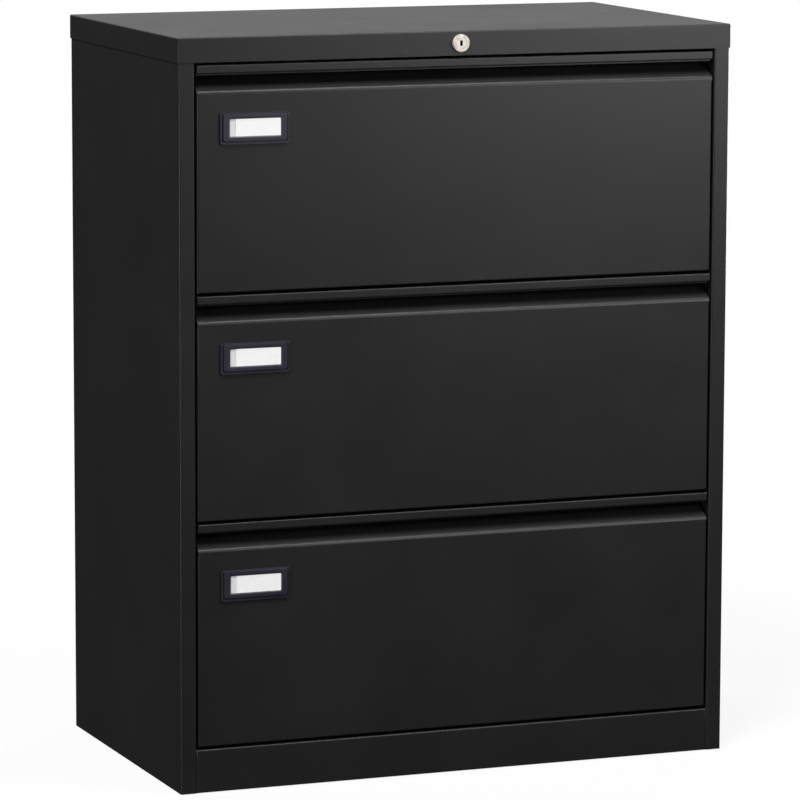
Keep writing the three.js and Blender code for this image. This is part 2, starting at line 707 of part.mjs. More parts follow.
// Label holder: a flange on the drawer's face, a raised bezel round the window, and a pocket behind
// for the card.
function labelFrame() {
  const flange = extrudeY(rectangle(labelX, labelZ, LABEL_CORNER), -LABEL_FLANGE, -SEAT);
  const bezelX = grown(labelX, -LABEL_STEP);
  const bezelZ = grown(labelZ, -LABEL_STEP);
  const bezel = extrudeY(rectangle(bezelX, bezelZ, LABEL_CORNER), -LABEL_PROJECTION, -SEAT);
  const view = extrudeY(
    rectangle(windowX, windowZ, WINDOW_CORNER), -LABEL_PROJECTION - CUT_MARGIN, CUT_MARGIN);
  const pocketMargin = CARD_MARGIN + SEAT;
  const pocket = block(
    grown(windowX, pocketMargin), [-cardFront - SEAT, CUT_MARGIN], grown(windowZ, pocketMargin));
  return flange.add(bezel).subtract(view).subtract(pocket);
}

// Label card, held in the pocket against the drawer's face.
function labelCard() {
  return block(grown(windowX, CARD_MARGIN), [-cardFront, -CARD_STANDOFF], grown(windowZ, CARD_MARGIN));
}

// Lock housing: a bevelled face on the cap's skirt and a barrel that passes through the rail.
function lockHousing() {
  const face = -capOverhang - LOCK_PROJECTION;
  const rim = LOCK_FACE_DIAMETER / 2;
  const barrel = LOCK_BODY_DIAMETER / 2;
  const bore = PLUG_DIAMETER / 2 + PLAY;
  return solidOf(turned([
    [bore, face],
    [rim - LOCK_BEVEL, face],
    [rim, face + LOCK_BEVEL],
    [rim, -capOverhang - SEAT],
    [barrel, -capOverhang - SEAT],
    [barrel, housingBack],
    [bore, housingBack],
    [bore, face],
  ]));
}

// Ring nut that holds the housing against the rail.
function lockNut() {
  const front = railFront + SHEET + SEAT;
  const bore = LOCK_BODY_DIAMETER / 2 + PLAY;
  const rim = CAP_SKIRT / 2 - SHEET - NUT_GAP;
  return solidOf(turned([
    [bore, front],
    [rim, front],
    [rim, front + NUT_THICKNESS],
    [bore, front + NUT_THICKNESS],
    [bore, front],
  ]));
}

// Lock plug: a round plug with an upright keyway, and a square tail for the cam.
function lockPlug() {
  const face = PLUG_RECESS - capOverhang - LOCK_PROJECTION;
  const radius = PLUG_DIAMETER / 2;
  const barrel = solidOf(turned([
    [0, face],
    [radius, face],
    [radius, housingBack],
    [0, housingBack],
  ]));
  const tailHalf = TAIL_SIDE / 2;
  const tail = block([-tailHalf, tailHalf], [housingBack - SHEET, camBack], [-tailHalf, tailHalf]);
  const keyway = block(
    grown([0, 0], KEYWAY_WIDTH / 2), [face - CUT_MARGIN, face + KEYWAY_DEPTH], grown([0, 0], KEYWAY_HEIGHT / 2));
  return barrel.add(tail).subtract(keyway);
}

// Lock cam: an arm on the plug's tail, with a pin that drives the lock slide. It is drawn about the
// plug's axis, with the arm 45 degrees to the right of straight down.
function lockCam() {
  const lean = -Math.PI / 2 + camSwing;
  const tip = new THREE.Vector2(Math.cos(lean), Math.sin(lean)).multiplyScalar(camRadius);
  const spread = Math.acos((CAM_HUB - CAM_TIP) / camRadius);
  const arm = new THREE.Shape();
  arm.absarc(tip.x, tip.y, CAM_TIP, lean - spread, lean + spread, false);
  arm.absarc(0, 0, CAM_HUB, lean + spread, lean - spread + 2 * Math.PI, false);
  const socketHalf = TAIL_SIDE / 2 + SEAT;
  const socket = block(
    [-socketHalf, socketHalf], [camFront - CUT_MARGIN, camBack + CUT_MARGIN], [-socketHalf, socketHalf]);
  const pin = roundY(LOCK_PIN_DIAMETER, tip.x, tip.y, camFront, slideBack - SEAT);
  return extrudeY(arm, camFront, camBack).subtract(socket).add(pin);
}

// Lock slide: a flat bar behind the cam, with an upright slot for the cam's pin and a sloping slot
// that lifts the lock bar's pin.
function lockSlide() {
  const camSlotX = camRadius * Math.sin(camSwing);
  const end = barPinX + lockThrow + barSlotWidth / 2 + SLOT_EDGE;
  const plate = rectangle([-SLIDE_TAIL, end], [slideBottom, slideTop], SLOT_EDGE);
  plate.holes.push(slot(
    [camSlotX, lockHeight - camRadius],
    [camSlotX, lockHeight - camRadius * Math.cos(camSwing)],
    camSlotWidth));
  plate.holes.push(slot(
    [barPinX, barPinZ],
    [barPinX + lockThrow, barPinZ + LOCK_LIFT],
    barSlotWidth));
  return extrudeY(plate, slideFront, slideBack);
}

// Lock bar: an upright strip behind the right front flange, with an ear at each drawer that hooks
// its catch and one at the top that carries the pin.
function lockBar() {
  const outer = barInner + LOCK_PLATE;
  const earHalf = HOOK_HEIGHT / 2 - LOCK_GAP;
  const bottom = hookTop(DRAWER_COUNT) - HOOK_HEIGHT - LOCK_BAR_END;
  const ear = foldedSheet([
    [outer, barBack],
    [outer, hookFront],
    [hookInner, hookFront],
  ], -LOCK_PLATE);
  let bar = block([barInner, outer], [hookBack, barBack], [bottom, barPinZ + earHalf]);
  for (const number of drawerNumbers) {
    bar = bar.add(extrudeZ(ear, hookTop(number) - HOOK_HEIGHT, hookTop(number)));
  }
  const pin = roundY(LOCK_PIN_DIAMETER, barPinX, barPinZ, slideFront, hookBack - LOCK_PLATE / 2);
  return bar.add(extrudeZ(ear, barPinZ - earHalf, barPinZ + earHalf)).add(pin);
}

// Guide: a clip on the return that keeps the lock bar upright.
function lockBarGuide() {
  const crown = barInner + LOCK_PLATE + PLAY;
  const from = hookFront - PLAY - GUIDE_BEND;
  const to = barBack + PLAY + GUIDE_BEND;
  const section = foldedSheet([
    [returnFace, from - GUIDE_FOOT],
    [returnFace, from],
    [crown, from],
    [crown, to],
    [returnFace, to],
    [returnFace, to + GUIDE_FOOT],
  ], -SHEET, GUIDE_BEND);
  const middle = drawerBottom(Math.ceil(DRAWER_COUNT / 2)) + RUNNER_LIFT;
  return extrudeZ(section, middle - GUIDE_HEIGHT / 2, middle + GUIDE_HEIGHT / 2);
}

// The carcass and the lock, in the body's own frame
const sides = { left: -1, right: 1 };
const body = new THREE.Group();
body.position.y = (LOCK_PROJECTION - bodyDepth) / 2;
body.add(
  piece('top_cap', topCap(), POWDER_COAT),
  piece('back_panel', backPanel(), POWDER_COAT),
  piece('bottom_panel', bottomPanel(), POWDER_COAT),
  piece('kick_plate', kickPlate(), POWDER_COAT),
  piece('front_rail', frontRail(), POWDER_COAT),
  piece('counterweight', counterweight(), RAW_IRON),
  piece('lock_slide', lockSlide(), ZINC_STEEL),
  piece('lock_bar', lockBar(), ZINC_STEEL),
  piece('lock_bar_guide', lockBarGuide(), ZINC_STEEL),
);

for (const [name, side] of Object.entries(sides)) {
  body.add(piece(`${name}_side_panel`, sidePanel(side), POWDER_COAT));
  body.add(piece(`${name}_rear_upright`, rearUpright(side), POWDER_COAT));
  const frontFoot = piece(`front_${name}_foot`, foot(), BLACK_PLASTIC);
  frontFoot.position.set(side * frontFootX, frontFootY, 0);
  const rearFoot = piece(`rear_${name}_foot`, foot(), BLACK_PLASTIC);
  rearFoot.position.set(side * rearFootX, rearFootY, 0);
  body.add(frontFoot, rearFoot);
}

const lock = new THREE.Group();
lock.position.z = lockHeight;
lock.add(
  piece('lock_housing', lockHousing(), NICKEL),
  piece('lock_nut', lockNut(), ZINC_STEEL),
  piece('lock_plug', lockPlug(), BRASS),
  piece('lock_cam', lockCam(), ZINC_STEEL),
);
body.add(lock);

// The drawers, with their runners
for (const number of drawerNumbers) {
  const drawer = new THREE.Group();
  drawer.position.z = drawerBottom(number);
  drawer.add(
    piece(`drawer_${number}_front`, drawerFront(), POWDER_COAT),
    piece(`drawer_${number}_tray`, tray(), POWDER_COAT),
    piece(`drawer_${number}_front_rail`, fileRail(1), ZINC_STEEL),
    piece(`drawer_${number}_rear_rail`, fileRail(-1), ZINC_STEEL),
    piece(`drawer_${number}_lock_catch`, lockCatch(), ZINC_STEEL),
    piece(`drawer_${number}_label_frame`, labelFrame(), BLACK_PLASTIC),
    piece(`drawer_${number}_label_card`, labelCard(), WHITE_CARD),
  );
  const runners = new THREE.Group();
  runners.position.z = RUNNER_LIFT;
  for (const [name, side] of Object.entries(sides)) {
    runners.add(
      piece(`drawer_${number}_${name}_cabinet_runner`, cabinetRunner(side), ZINC_STEEL),
      piece(`drawer_${number}_${name}_middle_runner`, middleRunner(side), ZINC_STEEL),
      piece(`drawer_${number}_${name}_drawer_runner`, drawerRunner(side), ZINC_STEEL),
    );
  }
  drawer.add(runners);
  body.add(drawer);
}

const group = new THREE.Group();
group.add(body);

export default group;
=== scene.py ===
"""Looks of a three-drawer lateral filing cabinet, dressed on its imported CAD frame.

Drawing sizes are millimetres, with y counted back from the carcass's front face.
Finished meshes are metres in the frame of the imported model.
"""

import json
import logging
import math
from abc import ABC, abstractmethod
from collections.abc import Mapping, Sequence
from dataclasses import dataclass, field
from enum import Enum
from functools import cache

import bmesh
import bpy
from mathutils import Matrix, Vector


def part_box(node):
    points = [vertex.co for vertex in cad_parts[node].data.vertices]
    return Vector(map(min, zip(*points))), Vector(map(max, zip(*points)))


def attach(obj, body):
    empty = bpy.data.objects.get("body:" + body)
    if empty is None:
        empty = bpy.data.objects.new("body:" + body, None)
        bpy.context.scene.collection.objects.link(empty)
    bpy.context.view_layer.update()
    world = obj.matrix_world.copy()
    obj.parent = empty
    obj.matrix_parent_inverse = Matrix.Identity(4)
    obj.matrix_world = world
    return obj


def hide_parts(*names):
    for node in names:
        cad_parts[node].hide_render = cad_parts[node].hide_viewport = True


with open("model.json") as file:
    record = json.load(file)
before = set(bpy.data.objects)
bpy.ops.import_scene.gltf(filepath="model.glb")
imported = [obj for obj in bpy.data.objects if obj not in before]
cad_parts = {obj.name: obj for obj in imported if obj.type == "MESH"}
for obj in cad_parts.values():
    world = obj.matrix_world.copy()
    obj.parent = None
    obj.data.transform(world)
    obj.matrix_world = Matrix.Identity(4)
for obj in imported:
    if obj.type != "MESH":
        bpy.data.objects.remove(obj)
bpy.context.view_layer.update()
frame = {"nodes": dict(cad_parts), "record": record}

log = logging.getLogger("cabinet")

MM = 0.001
FRONT_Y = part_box("kick_plate")[0].y
DRAWERS = (1, 2, 3)
SIDES = (("left", -1), ("right", 1))

# Sheet metal, in millimetres.
SHEET = 1.0
BEND = 1.0
SEAT = 0.2
CUT_MARGIN = 2.0
LEAST_RADIUS = 0.01

# Facets and what still counts as flat, sharp or the same point.
FOLD_STEPS = 6
ROUND_STEPS = 64
FLAT_ANGLE = math.radians(0.2)
SHARP_ANGLE = math.radians(32)
WELD_DISTANCE = 2e-4

# Small repeated parts, as shares of their radius or width.
FACING = "facing"
BALL_FACETS = (10, 6)
HEAD_SIDES = 20
HEAD_TAPER = 0.7
RIVET_BORE_SIDES = 12
RIVET_BORE = 0.34
CROSS = (1.1, 0.26)
SLOT_ROUND = 0.498

# Surface noise: scale where it is fixed, detail and roughness of each kind.
GRAIN_NOISES = {"Coarse": (2.0, 0.5), "Fine": (1.0, 0.5), "Cloud": (4.0, 0.6)}
DUST_NOISE = (16.0, 6.0, 0.65)
STREAK_NOISE = (1.0, 3.0, 0.55)
BLOTCH_NOISE = (3.0, 0.6)

# Shares of the noises that are mixed, and the spans that are used of them.
FINE_SHARE = 0.4
CLOUD_SHARE = 0.5
GRAIN_SPAN = (0.35, 0.65)
NOISE_SPAN = (0.3, 0.7)
DUST_FACING = (0.3, 0.95)
DUST_PATCHES = (0.35, 0.75, 0.35, 1.0)

Point = tuple[float, float]
Place = tuple[float, float, float]
Colour = tuple[float, float, float, float]
Socket = bpy.types.NodeSocket
Tree = bpy.types.NodeTree


def grey(level: float, warmth: float = 0.0) -> Colour:
    """A neutral linear colour, with its red raised and its blue lowered by a share."""
    return (level * (1 + warmth), level, level * (1 - warmth), 1.0)


def node_box(node: str) -> tuple[Vector, Vector]:
    """The lowest and highest corner of a CAD node, in drawing millimetres."""
    return tuple((corner - Vector((0, FRONT_Y, 0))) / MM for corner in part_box(node))


def middle(node: str) -> Vector:
    """The middle of a CAD node's box, in drawing millimetres."""
    low, high = node_box(node)
    return (low + high) / 2


def grown(limits: Point, margin: float) -> Point:
    """Two limits moved apart by a margin at each end."""
    return (limits[0] - margin, limits[1] + margin)


def linked(name: str, data: bpy.types.ID) -> bpy.types.Object:
    """Puts a new object in the scene.

    Args:
        name: The object's name.
        data: What it shows.

    Returns:
        The object.
    """
    made = bpy.data.objects.new(name, data)
    bpy.context.scene.collection.objects.link(made)
    return made


def rounded_loop(x: Point, z: Point, radius: float) -> list[Point]:
    """Points of a rounded rectangle, counter-clockwise.

    Args:
        x: Its limits across.
        z: Its limits upwards.
        radius: Its corner radius.

    Returns:
        The points.
    """
    centres = (
        (x[1] - radius, z[0] + radius, -90),
        (x[1] - radius, z[1] - radius, 0),
        (x[0] + radius, z[1] - radius, 90),
        (x[0] + radius, z[0] + radius, 180),
    )
    loop = []
    for across, up, start in centres:
        for step in range(FOLD_STEPS + 1):
            angle = math.radians(start + 90 * step / FOLD_STEPS)
            loop.append((across + radius * math.cos(angle), up + radius * math.sin(angle)))
    return loop


def circle(radius: float, centre: Point) -> list[Point]:
    """Points round a circle, counter-clockwise.

    Args:
        radius: Its radius.
        centre: Its centre.

    Returns:
        The points.
    """
    angles = [2 * math.pi * step / ROUND_STEPS for step in range(ROUND_STEPS)]
    return [
        (centre[0] + radius * math.cos(angle), centre[1] + radius * math.sin(angle))
        for angle in angles
    ]


class Axis(Enum):
    """Direction that a section runs along, after the two directions it is drawn in."""

    X = (1, 2, 0)
    Y = (0, 2, 1)
    Z = (0, 1, 2)

    def point(self, a: float, b: float, along: float) -> Vector:
        """A point in space.

        Args:
            a: Its first drawing coordinate.
            b: Its second drawing coordinate.
            along: Its place along the run.

        Returns:
            The point.
        """
        place = [0.0, 0.0, 0.0]
        for index, value in zip(self.value, (a, b, along)):
            place[index] = value
        return Vector(place)


class Solid:
    """A closed shape in drawing millimetres that is joined, cut and made a piece."""

    def __init__(self) -> None:
        """Starts an empty shape."""
        self.bm = bmesh.new()

    def stack(
        self, loops: Sequence[tuple[Sequence[Point], float]], axis: Axis, ring: bool = False
    ) -> "Solid":
        """Adds a skin over loops of equal counts.

        Args:
            loops: Each loop's points and its place along the axis.
            axis: Direction that the loops are stacked along.
            ring: Whether the last loop joins the first, or both ends are closed flat.

        Returns:
            This shape.
        """
        rows = [
            [self.bm.verts.new(axis.point(a, b, along)) for a, b in loop] for loop, along in loops
        ]
        faces = []
        pairs = list(zip(rows, rows[1:]))
        if ring:
            pairs.append((rows[-1], rows[0]))
        else:
            faces += [self.bm.faces.new(rows[0]), self.bm.faces.new(rows[-1])]
        count = len(rows[0])
        for low, high in pairs:
            for i in range(count):
                j = (i + 1) % count
                faces.append(self.bm.faces.new((low[i], low[j], high[j], high[i])))
        bmesh.ops.recalc_face_normals(self.bm, faces=faces)
        return self

    def prism(self, outline: Sequence[Point], axis: Axis, low: float, high: float) -> "Solid":
        """Adds a section run along an axis between two places."""
        return self.stack([(outline, min(low, high)), (outline, max(low, high))], axis)

    def block(self, x: Point, y: Point, z: Point) -> "Solid":
        """Adds a block between two limits on each axis."""
        corners = [(x[0], y[0]), (x[1], y[0]), (x[1], y[1]), (x[0], y[1])]
        return self.prism(corners, Axis.Z, *z)

    def turned(self, profile: Sequence[Point], axis: Axis, centre: Point, ring: bool) -> "Solid":
        """Adds a turned shape.

        Args:
            profile: Radius and place along the axis of each circle.
            axis: Axis that it is turned about.
            centre: Where the axis crosses the drawing directions.
            ring: Whether the profile closes on itself round a bore.

        Returns:
            This shape.
        """
        return self.stack([(circle(r, centre), along) for r, along in profile], axis, ring)

    def add(self, other: "Solid") -> None:
        """Takes in another shape that keeps clear of this one.

        Args:
            other: The other shape, which is used up.
        """
        mesh = other._mesh()
        self.bm.from_mesh(mesh)
        bpy.data.meshes.remove(mesh)

    def join(self, other: "Solid") -> None:
        """Joins another shape to this one."""
        self._combine(other, "UNION")

    def cut(self, other: "Solid") -> None:
        """Takes another shape away from this one."""
        self._combine(other, "DIFFERENCE")

    def _combine(self, other: "Solid", operation: str) -> None:
        """Combines this shape with another by Blender's exact solver.

        Args:
            other: The other shape, which is used up.
            operation: What the boolean modifier calls the combination.
        """
        base, tool = linked("scratch", self._mesh()), linked("scratch", other._mesh())
        step = base.modifiers.new("combine", "BOOLEAN")
        step.operation = operation
        step.solver = "EXACT"
        step.object = tool
        self._applied(base)
        mesh = tool.data
        bpy.data.objects.remove(tool)
        bpy.data.meshes.remove(mesh)
        bmesh.ops.remove_doubles(self.bm, verts=self.bm.verts, dist=WELD_DISTANCE)

    def through(self, tree: Tree, feeds: dict[str, object]) -> "Solid":
        """Runs the shape through a geometry node tree.

        Args:
            tree: The tree.
            feeds: Values for its named inputs.

        Returns:
            This shape.
        """
        base = linked("scratch", self._mesh())
        step = base.modifiers.new("nodes", "NODES")
        step.node_group = tree
        sockets = [item for item in tree.interface.items_tree if item.in_out == "INPUT"]
        identifiers = {socket.name: socket.identifier for socket in sockets}
        for name, value in feeds.items():
            step[identifiers[name]] = value
        return self._applied(base)

    def _applied(self, base: bpy.types.Object) -> "Solid":
        """Takes over a short-lived object's mesh as its modifiers make it.

        Args:
            base: The object, which is removed.

        Returns:
            This shape.
        """
        shown = base.evaluated_get(bpy.context.evaluated_depsgraph_get())
        result, first = bpy.data.meshes.new_from_object(shown), base.data
        self.bm = bmesh.new()
        self.bm.from_mesh(result)
        bpy.data.objects.remove(base)
        for mesh in (first, result):
            bpy.data.meshes.remove(mesh)
        return self

    def _mesh(self, name: str = "scratch") -> bpy.types.Mesh:
        """Moves this shape into a mesh.

        Args:
            name: The mesh's name.

        Returns:
            The mesh.
        """
        mesh = bpy.data.meshes.new(name)
        self.bm.to_mesh(mesh)
        self.bm.free()
        return mesh

    def piece(self, name: str) -> bpy.types.Object:
        """Makes the shape an object in the model's frame, with smooth folds and flat faces.

        Args:
            name: The object's name.

        Returns:
            The object.
        """
        bmesh.ops.dissolve_limit(
            self.bm, angle_limit=FLAT_ANGLE, verts=self.bm.verts, edges=self.bm.edges
        )
        mesh = self._mesh(name)
        mesh.transform(Matrix.Translation((0, FRONT_Y, 0)) @ Matrix.Scale(MM, 4))
        mesh.shade_smooth()
        mesh.set_sharp_from_angle(angle=SHARP_ANGLE)
        made = linked(name, mesh)
        step = made.modifiers.new("flat faces", "WEIGHTED_NORMAL")
        step.keep_sharp = True
        shown = made.evaluated_get(bpy.context.evaluated_depsgraph_get())
        finished = bpy.data.meshes.new_from_object(shown)
        made.modifiers.clear()
        made.data = finished
        return made


@dataclass(frozen=True)
class FoldedSheet:
    """Section of a sheet folded along a line of corner points.

    Attributes:
        corners: Corner points of one face of the sheet.
        thickness: Sheet thickness, positive where the sheet lies left of the line.
        bend: Inside radius of the folds.
        own_bends: Inside radius of the folds that differ, by the corner's number.
    """

    corners: Sequence[Point]
    thickness: float
    bend: float = BEND
    own_bends: Mapping[int, float] = field(default_factory=dict)

    def along(self, axis: Axis, low: float, high: float) -> Solid:
        """Runs the sheet along an axis, with every fold rounded.

        Args:
            axis: The axis.
            low: Where the sheet starts along it.
            high: Where it ends.

        Returns:
            The sheet as a shape.
        """
        near = [Vector(corner) for corner in self.corners]
        far = self._offset(near)[::-1]
        bends = [self.own_bends.get(index, self.bend) for index in range(len(near))]
        points = self._rounded(near, bends) + self._rounded(far, bends[::-1])
        return Solid().prism([tuple(point) for point in points], axis, low, high)

    def _offset(self, line: list[Vector]) -> list[Vector]:
        """The line on the sheet's other face.

        Args:
            line: The corners on the drawn face.

        Returns:
            The corners on the other face.
        """
        normals = []
        for start, end in zip(line, line[1:]):
            along = (end - start).normalized()
            normals.append(Vector((-along.y, along.x)))
        befores = [normals[0], *normals]
        afters = [*normals, normals[-1]]
        return [
            point + (before + after) * self.thickness / (1 + before.dot(after))
            for point, before, after in zip(line, befores, afters)
        ]

    def _rounded(self, line: list[Vector], bends: list[float]) -> list[Vector]:
        """A line with an arc at each of its corners.

        Args:
            line: The line's points.
            bends: Inside radius of the fold at each point.

        Returns:
            The points of the line with its arcs.
        """
        points = [line[0]]
        for before, corner, after, bend in zip(line, line[1:], line[2:], bends[1:]):
            along = (corner - before).normalized()
            onward = (after - corner).normalized()
            turn = math.copysign(1.0, along.cross(onward))
            outer = turn * self.thickness > 0
            radius = bend + (abs(self.thickness) if outer else 0.0)
            angle = along.angle(onward)
            start = corner - along * radius * math.tan(angle / 2)
            arm = Vector((along.y, -along.x)) * turn * radius
            for step in range(FOLD_STEPS + 1):
                swing = Matrix.Rotation(turn * angle * step / FOLD_STEPS, 2)
                points.append(start - arm + swing @ arm)
        return [*points, line[-1]]


def end_folds(sheet: Solid, x: Point, depth: float, cut: Point, run: Point) -> None:
    """Folds a sheet's face back at its two upright edges.

    Args:
        sheet: The sheet.
        x: Where its edges are.
        depth: How far the folds reach back.
        cut: Lower and upper end of what is rounded off the face's edges.
        run: Lower and upper end of the folds.
    """
    for (_, side), edge in zip(SIDES, x):
        sheet.cut(round_corner(side, edge, *cut))
        corners = [(edge, depth), (edge, 0.0), (edge - side * depth, 0.0)]
        sheet.join(FoldedSheet(corners, -side * SHEET).along(Axis.Z, *run))


def round_corner(side: int, edge: float, low: float, high: float) -> Solid:
    """What a fold takes off the square upright edge of a sheet's face.

    Args:
        side: -1 for the face's left edge and 1 for its right edge.
        edge: Where the edge is.
        low: Lower end of the fold.
        high: Upper end of the fold.

    Returns:
        The shape to cut away.
    """
    radius = BEND + SHEET
    centre = edge - side * radius
    arc = []
    for step in range(FOLD_STEPS + 1):
        angle = math.pi / 2 * step / FOLD_STEPS
        arc.append((centre + side * radius * math.cos(angle), radius - radius * math.sin(angle)))
    past = edge + side * CUT_MARGIN
    outline = [(centre, -CUT_MARGIN), (past, -CUT_MARGIN), (past, radius), *arc]
    return Solid().prism(outline, Axis.Z, low, high)


class Graph:
    """Short calls that fill a node tree."""

    def __init__(self, tree: Tree) -> None:
        """Takes the tree to fill."""
        self.tree = tree

    @classmethod
    def of(cls, owner: bpy.types.Material | bpy.types.World) -> "Graph":
        """Empties the nodes of a material or a world.

        Args:
            owner: The material or the world.

        Returns:
            Its nodes, to be filled.
        """
        owner.use_nodes = True
        owner.node_tree.nodes.clear()
        return cls(owner.node_tree)

    @classmethod
    def group(
        cls, name: str, kind: str, given: Mapping[str, str], made: Mapping[str, str]
    ) -> "Graph":
        """A new node group.

        Args:
            name: The group's name.
            kind: Its type name.
            given: For each input, its type without the leading word NodeSocket.
            made: The same for each output.

        Returns:
            The group's nodes.
        """
        graph = cls(bpy.data.node_groups.new(name, kind))
        for way, sockets in (("INPUT", given), ("OUTPUT", made)):
            for socket, sort in sockets.items():
                graph.tree.interface.new_socket(
                    socket, in_out=way, socket_type="NodeSocket" + sort
                )
        return graph

    def node(self, kind: str, feeds: dict | None = None, **settings: object) -> bpy.types.Node:
        """Adds a node.

        Args:
            kind: The node's type name.
            feeds: For an input's name or number, the socket that feeds it, several
                sockets, or its value.
            settings: The node's properties.

        Returns:
            The node.
        """
        made = self.tree.nodes.new(kind)
        for key, value in settings.items():
            setattr(made, key, value)
        for key, value in (feeds or {}).items():
            for source in value if isinstance(value, list) else [value]:
                if isinstance(source, Socket):
                    self.tree.links.new(source, made.inputs[key])
                else:
                    made.inputs[key].default_value = source
        return made

    def out(self, kind: str, feeds: dict | None = None, **settings: object) -> Socket:
        """Adds a node and gives its first output."""
        return self.node(kind, feeds, **settings).outputs[0]

    def given(self) -> bpy.types.NodeOutputs:
        """The group's own inputs."""
        return self.node("NodeGroupInput").outputs

    def math(self, operation: str, *values: object) -> Socket:
        """A sum of sockets or numbers."""
        return self.out("ShaderNodeMath", dict(enumerate(values)), operation=operation)

    def spread(self, value: Socket, *limits: float) -> Socket:
        """A value moved from one span of numbers to another, and held inside it."""
        return self.out("ShaderNodeMapRange", dict(enumerate([value, *limits])))

    def blend(self, share: object, first: object, second: object) -> Socket:
        """A colour between two others, by the colour sockets of a mix node."""
        feeds = {0: share, 6: first, 7: second}
        return self.node("ShaderNodeMix", feeds, data_type="RGBA").outputs[2]

    def noise(self, place: Socket, scale: object, detail: float, rough: float) -> Socket:
        """Smooth noise at a place, of a number of waves to the metre."""
        feeds = {"Vector": place, "Scale": scale, "Detail": detail, "Roughness": rough}
        return self.node("ShaderNodeTexNoise", feeds).outputs["Fac"]

    def dot(self, place: Socket, way: Place) -> Socket:
        """How far a place lies in a direction."""
        feeds = {0: place, 1: way}
        return self.node("ShaderNodeVectorMath", feeds, operation="DOT_PRODUCT").outputs["Value"]

    def less(self, base: Socket, tools: list[Socket]) -> Socket:
        """Cuts meshes out of another.

        Args:
            base: The mesh that is cut.
            tools: The meshes that are cut out of it.

        Returns:
            The mesh that is left.
        """
        feeds = {"Mesh 1": base, "Mesh 2": tools, "Self Intersection": True}
        kind = "GeometryNodeMeshBoolean"
        return self.out(kind, feeds, operation="DIFFERENCE", solver="EXACT")

    def moved(self, shape: Socket, height: Socket) -> Socket:
        """A mesh raised along z."""
        rise = self.out("ShaderNodeCombineXYZ", {2: height})
        return self.out("GeometryNodeTransform", {"Geometry": shape, "Translation": rise})

    def placed(self, points: Socket, shape: Socket, turn: Socket) -> Socket:
        """A mesh set at points and turned there."""
        feeds = {"Points": points, "Instance": shape, "Rotation": turn}
        return self.out("GeometryNodeInstanceOnPoints", feeds)

    def set_out(self, shape: Socket, material: Socket) -> Tree:
        """Ends a geometry tree with real meshes in a material.

        Args:
            shape: What the tree has made.
            material: Its material.

        Returns:
            The tree.
        """
        real = self.out("GeometryNodeRealizeInstances", {0: shape})
        bare = self.out("GeometryNodeRemoveAttribute", {"Geometry": real, "Name": FACING})
        done = self.out("GeometryNodeSetMaterial", {"Geometry": bare, "Material": material})
        self.node("NodeGroupOutput", {0: done})
        return self.tree


class Effect(Enum):
    """Surface effects that several finishes share, each one shader node group."""

    GRAIN = "fine_grain"
    DUST = "settled_dust"
    STREAKS = "rolled_streaks"

    @cache
    def tree(self) -> Tree:
        """Builds the effect's node group the first time it is asked for.

        Returns:
            The node group.
        """
        return {
            Effect.GRAIN: self._grain, Effect.DUST: self._dust, Effect.STREAKS: self._streaks
        }[self]()

    def on(self, graph: Graph, place: Socket, **feeds: object) -> bpy.types.NodeOutputs:
        """The effect's outputs in a material.

        Args:
            graph: The material's nodes.
            place: Object coordinates.
            feeds: Values for the effect's own inputs.

        Returns:
            The outputs.
        """
        given = {"Vector": place, **feeds}
        return graph.node("ShaderNodeGroup", given, node_tree=self.tree()).outputs

    def _group(self, given: Sequence[str], made: Sequence[str], **kinds: str) -> Graph:
        """A group of numbers at a place, apart from inputs of another kind."""
        inputs = {"Vector": "Vector", **{name: kinds.get(name, "Float") for name in given}}
        return Graph.group(self.value, "ShaderNodeTree", inputs, dict.fromkeys(made, "Float"))

    def _grain(self) -> Tree:
        """A coarse and a fine noise, as a height and as slow cloudy shade.

        Returns:
            The node group.
        """
        graph = self._group(tuple(GRAIN_NOISES), ("Height", "Shade"))
        given = graph.given()
        coarse, fine, cloud = (
            graph.noise(given["Vector"], given[name], *kind) for name, kind in GRAIN_NOISES.items()
        )
        coarse = graph.math("MULTIPLY", coarse, 1 - FINE_SHARE)
        height = graph.math("MULTIPLY_ADD", fine, FINE_SHARE, coarse)
        relief = graph.math("MULTIPLY", height, 1 - CLOUD_SHARE)
        shade = graph.math("MULTIPLY_ADD", cloud, CLOUD_SHARE, relief)
        graph.node("NodeGroupOutput", {"Height": height, "Shade": shade})
        return graph.tree

    def _dust(self) -> Tree:
        """Patchy dust on what faces up.

        Returns:
            The node group.
        """
        graph = self._group(("Amount",), ("Mask",))
        given = graph.given()
        normal = graph.node("ShaderNodeNewGeometry").outputs["Normal"]
        upward = graph.node("ShaderNodeSeparateXYZ", {0: normal}).outputs["Z"]
        facing = graph.spread(upward, *DUST_FACING, 0.0, 1.0)
        patch = graph.noise(given["Vector"], *DUST_NOISE)
        thick = graph.math("MULTIPLY", facing, graph.spread(patch, *DUST_PATCHES))
        graph.node("NodeGroupOutput", {"Mask": graph.math("MULTIPLY", thick, given["Amount"])})
        return graph.tree

    def _streaks(self) -> Tree:
        """Long rolling marks and blotchy plating.

        Returns:
            The node group.
        """
        graph = self._group(("Along", "Blotch"), ("Streak", "Blotch"), Along="Vector")
        given = graph.given()
        feeds = {"Vector": given["Vector"], "Scale": given["Along"]}
        streak = graph.noise(graph.out("ShaderNodeMapping", feeds), *STREAK_NOISE)
        blotch = graph.noise(given["Vector"], given["Blotch"], *BLOTCH_NOISE)
        graph.node("NodeGroupOutput", {"Streak": streak, "Blotch": blotch})
        return graph.tree


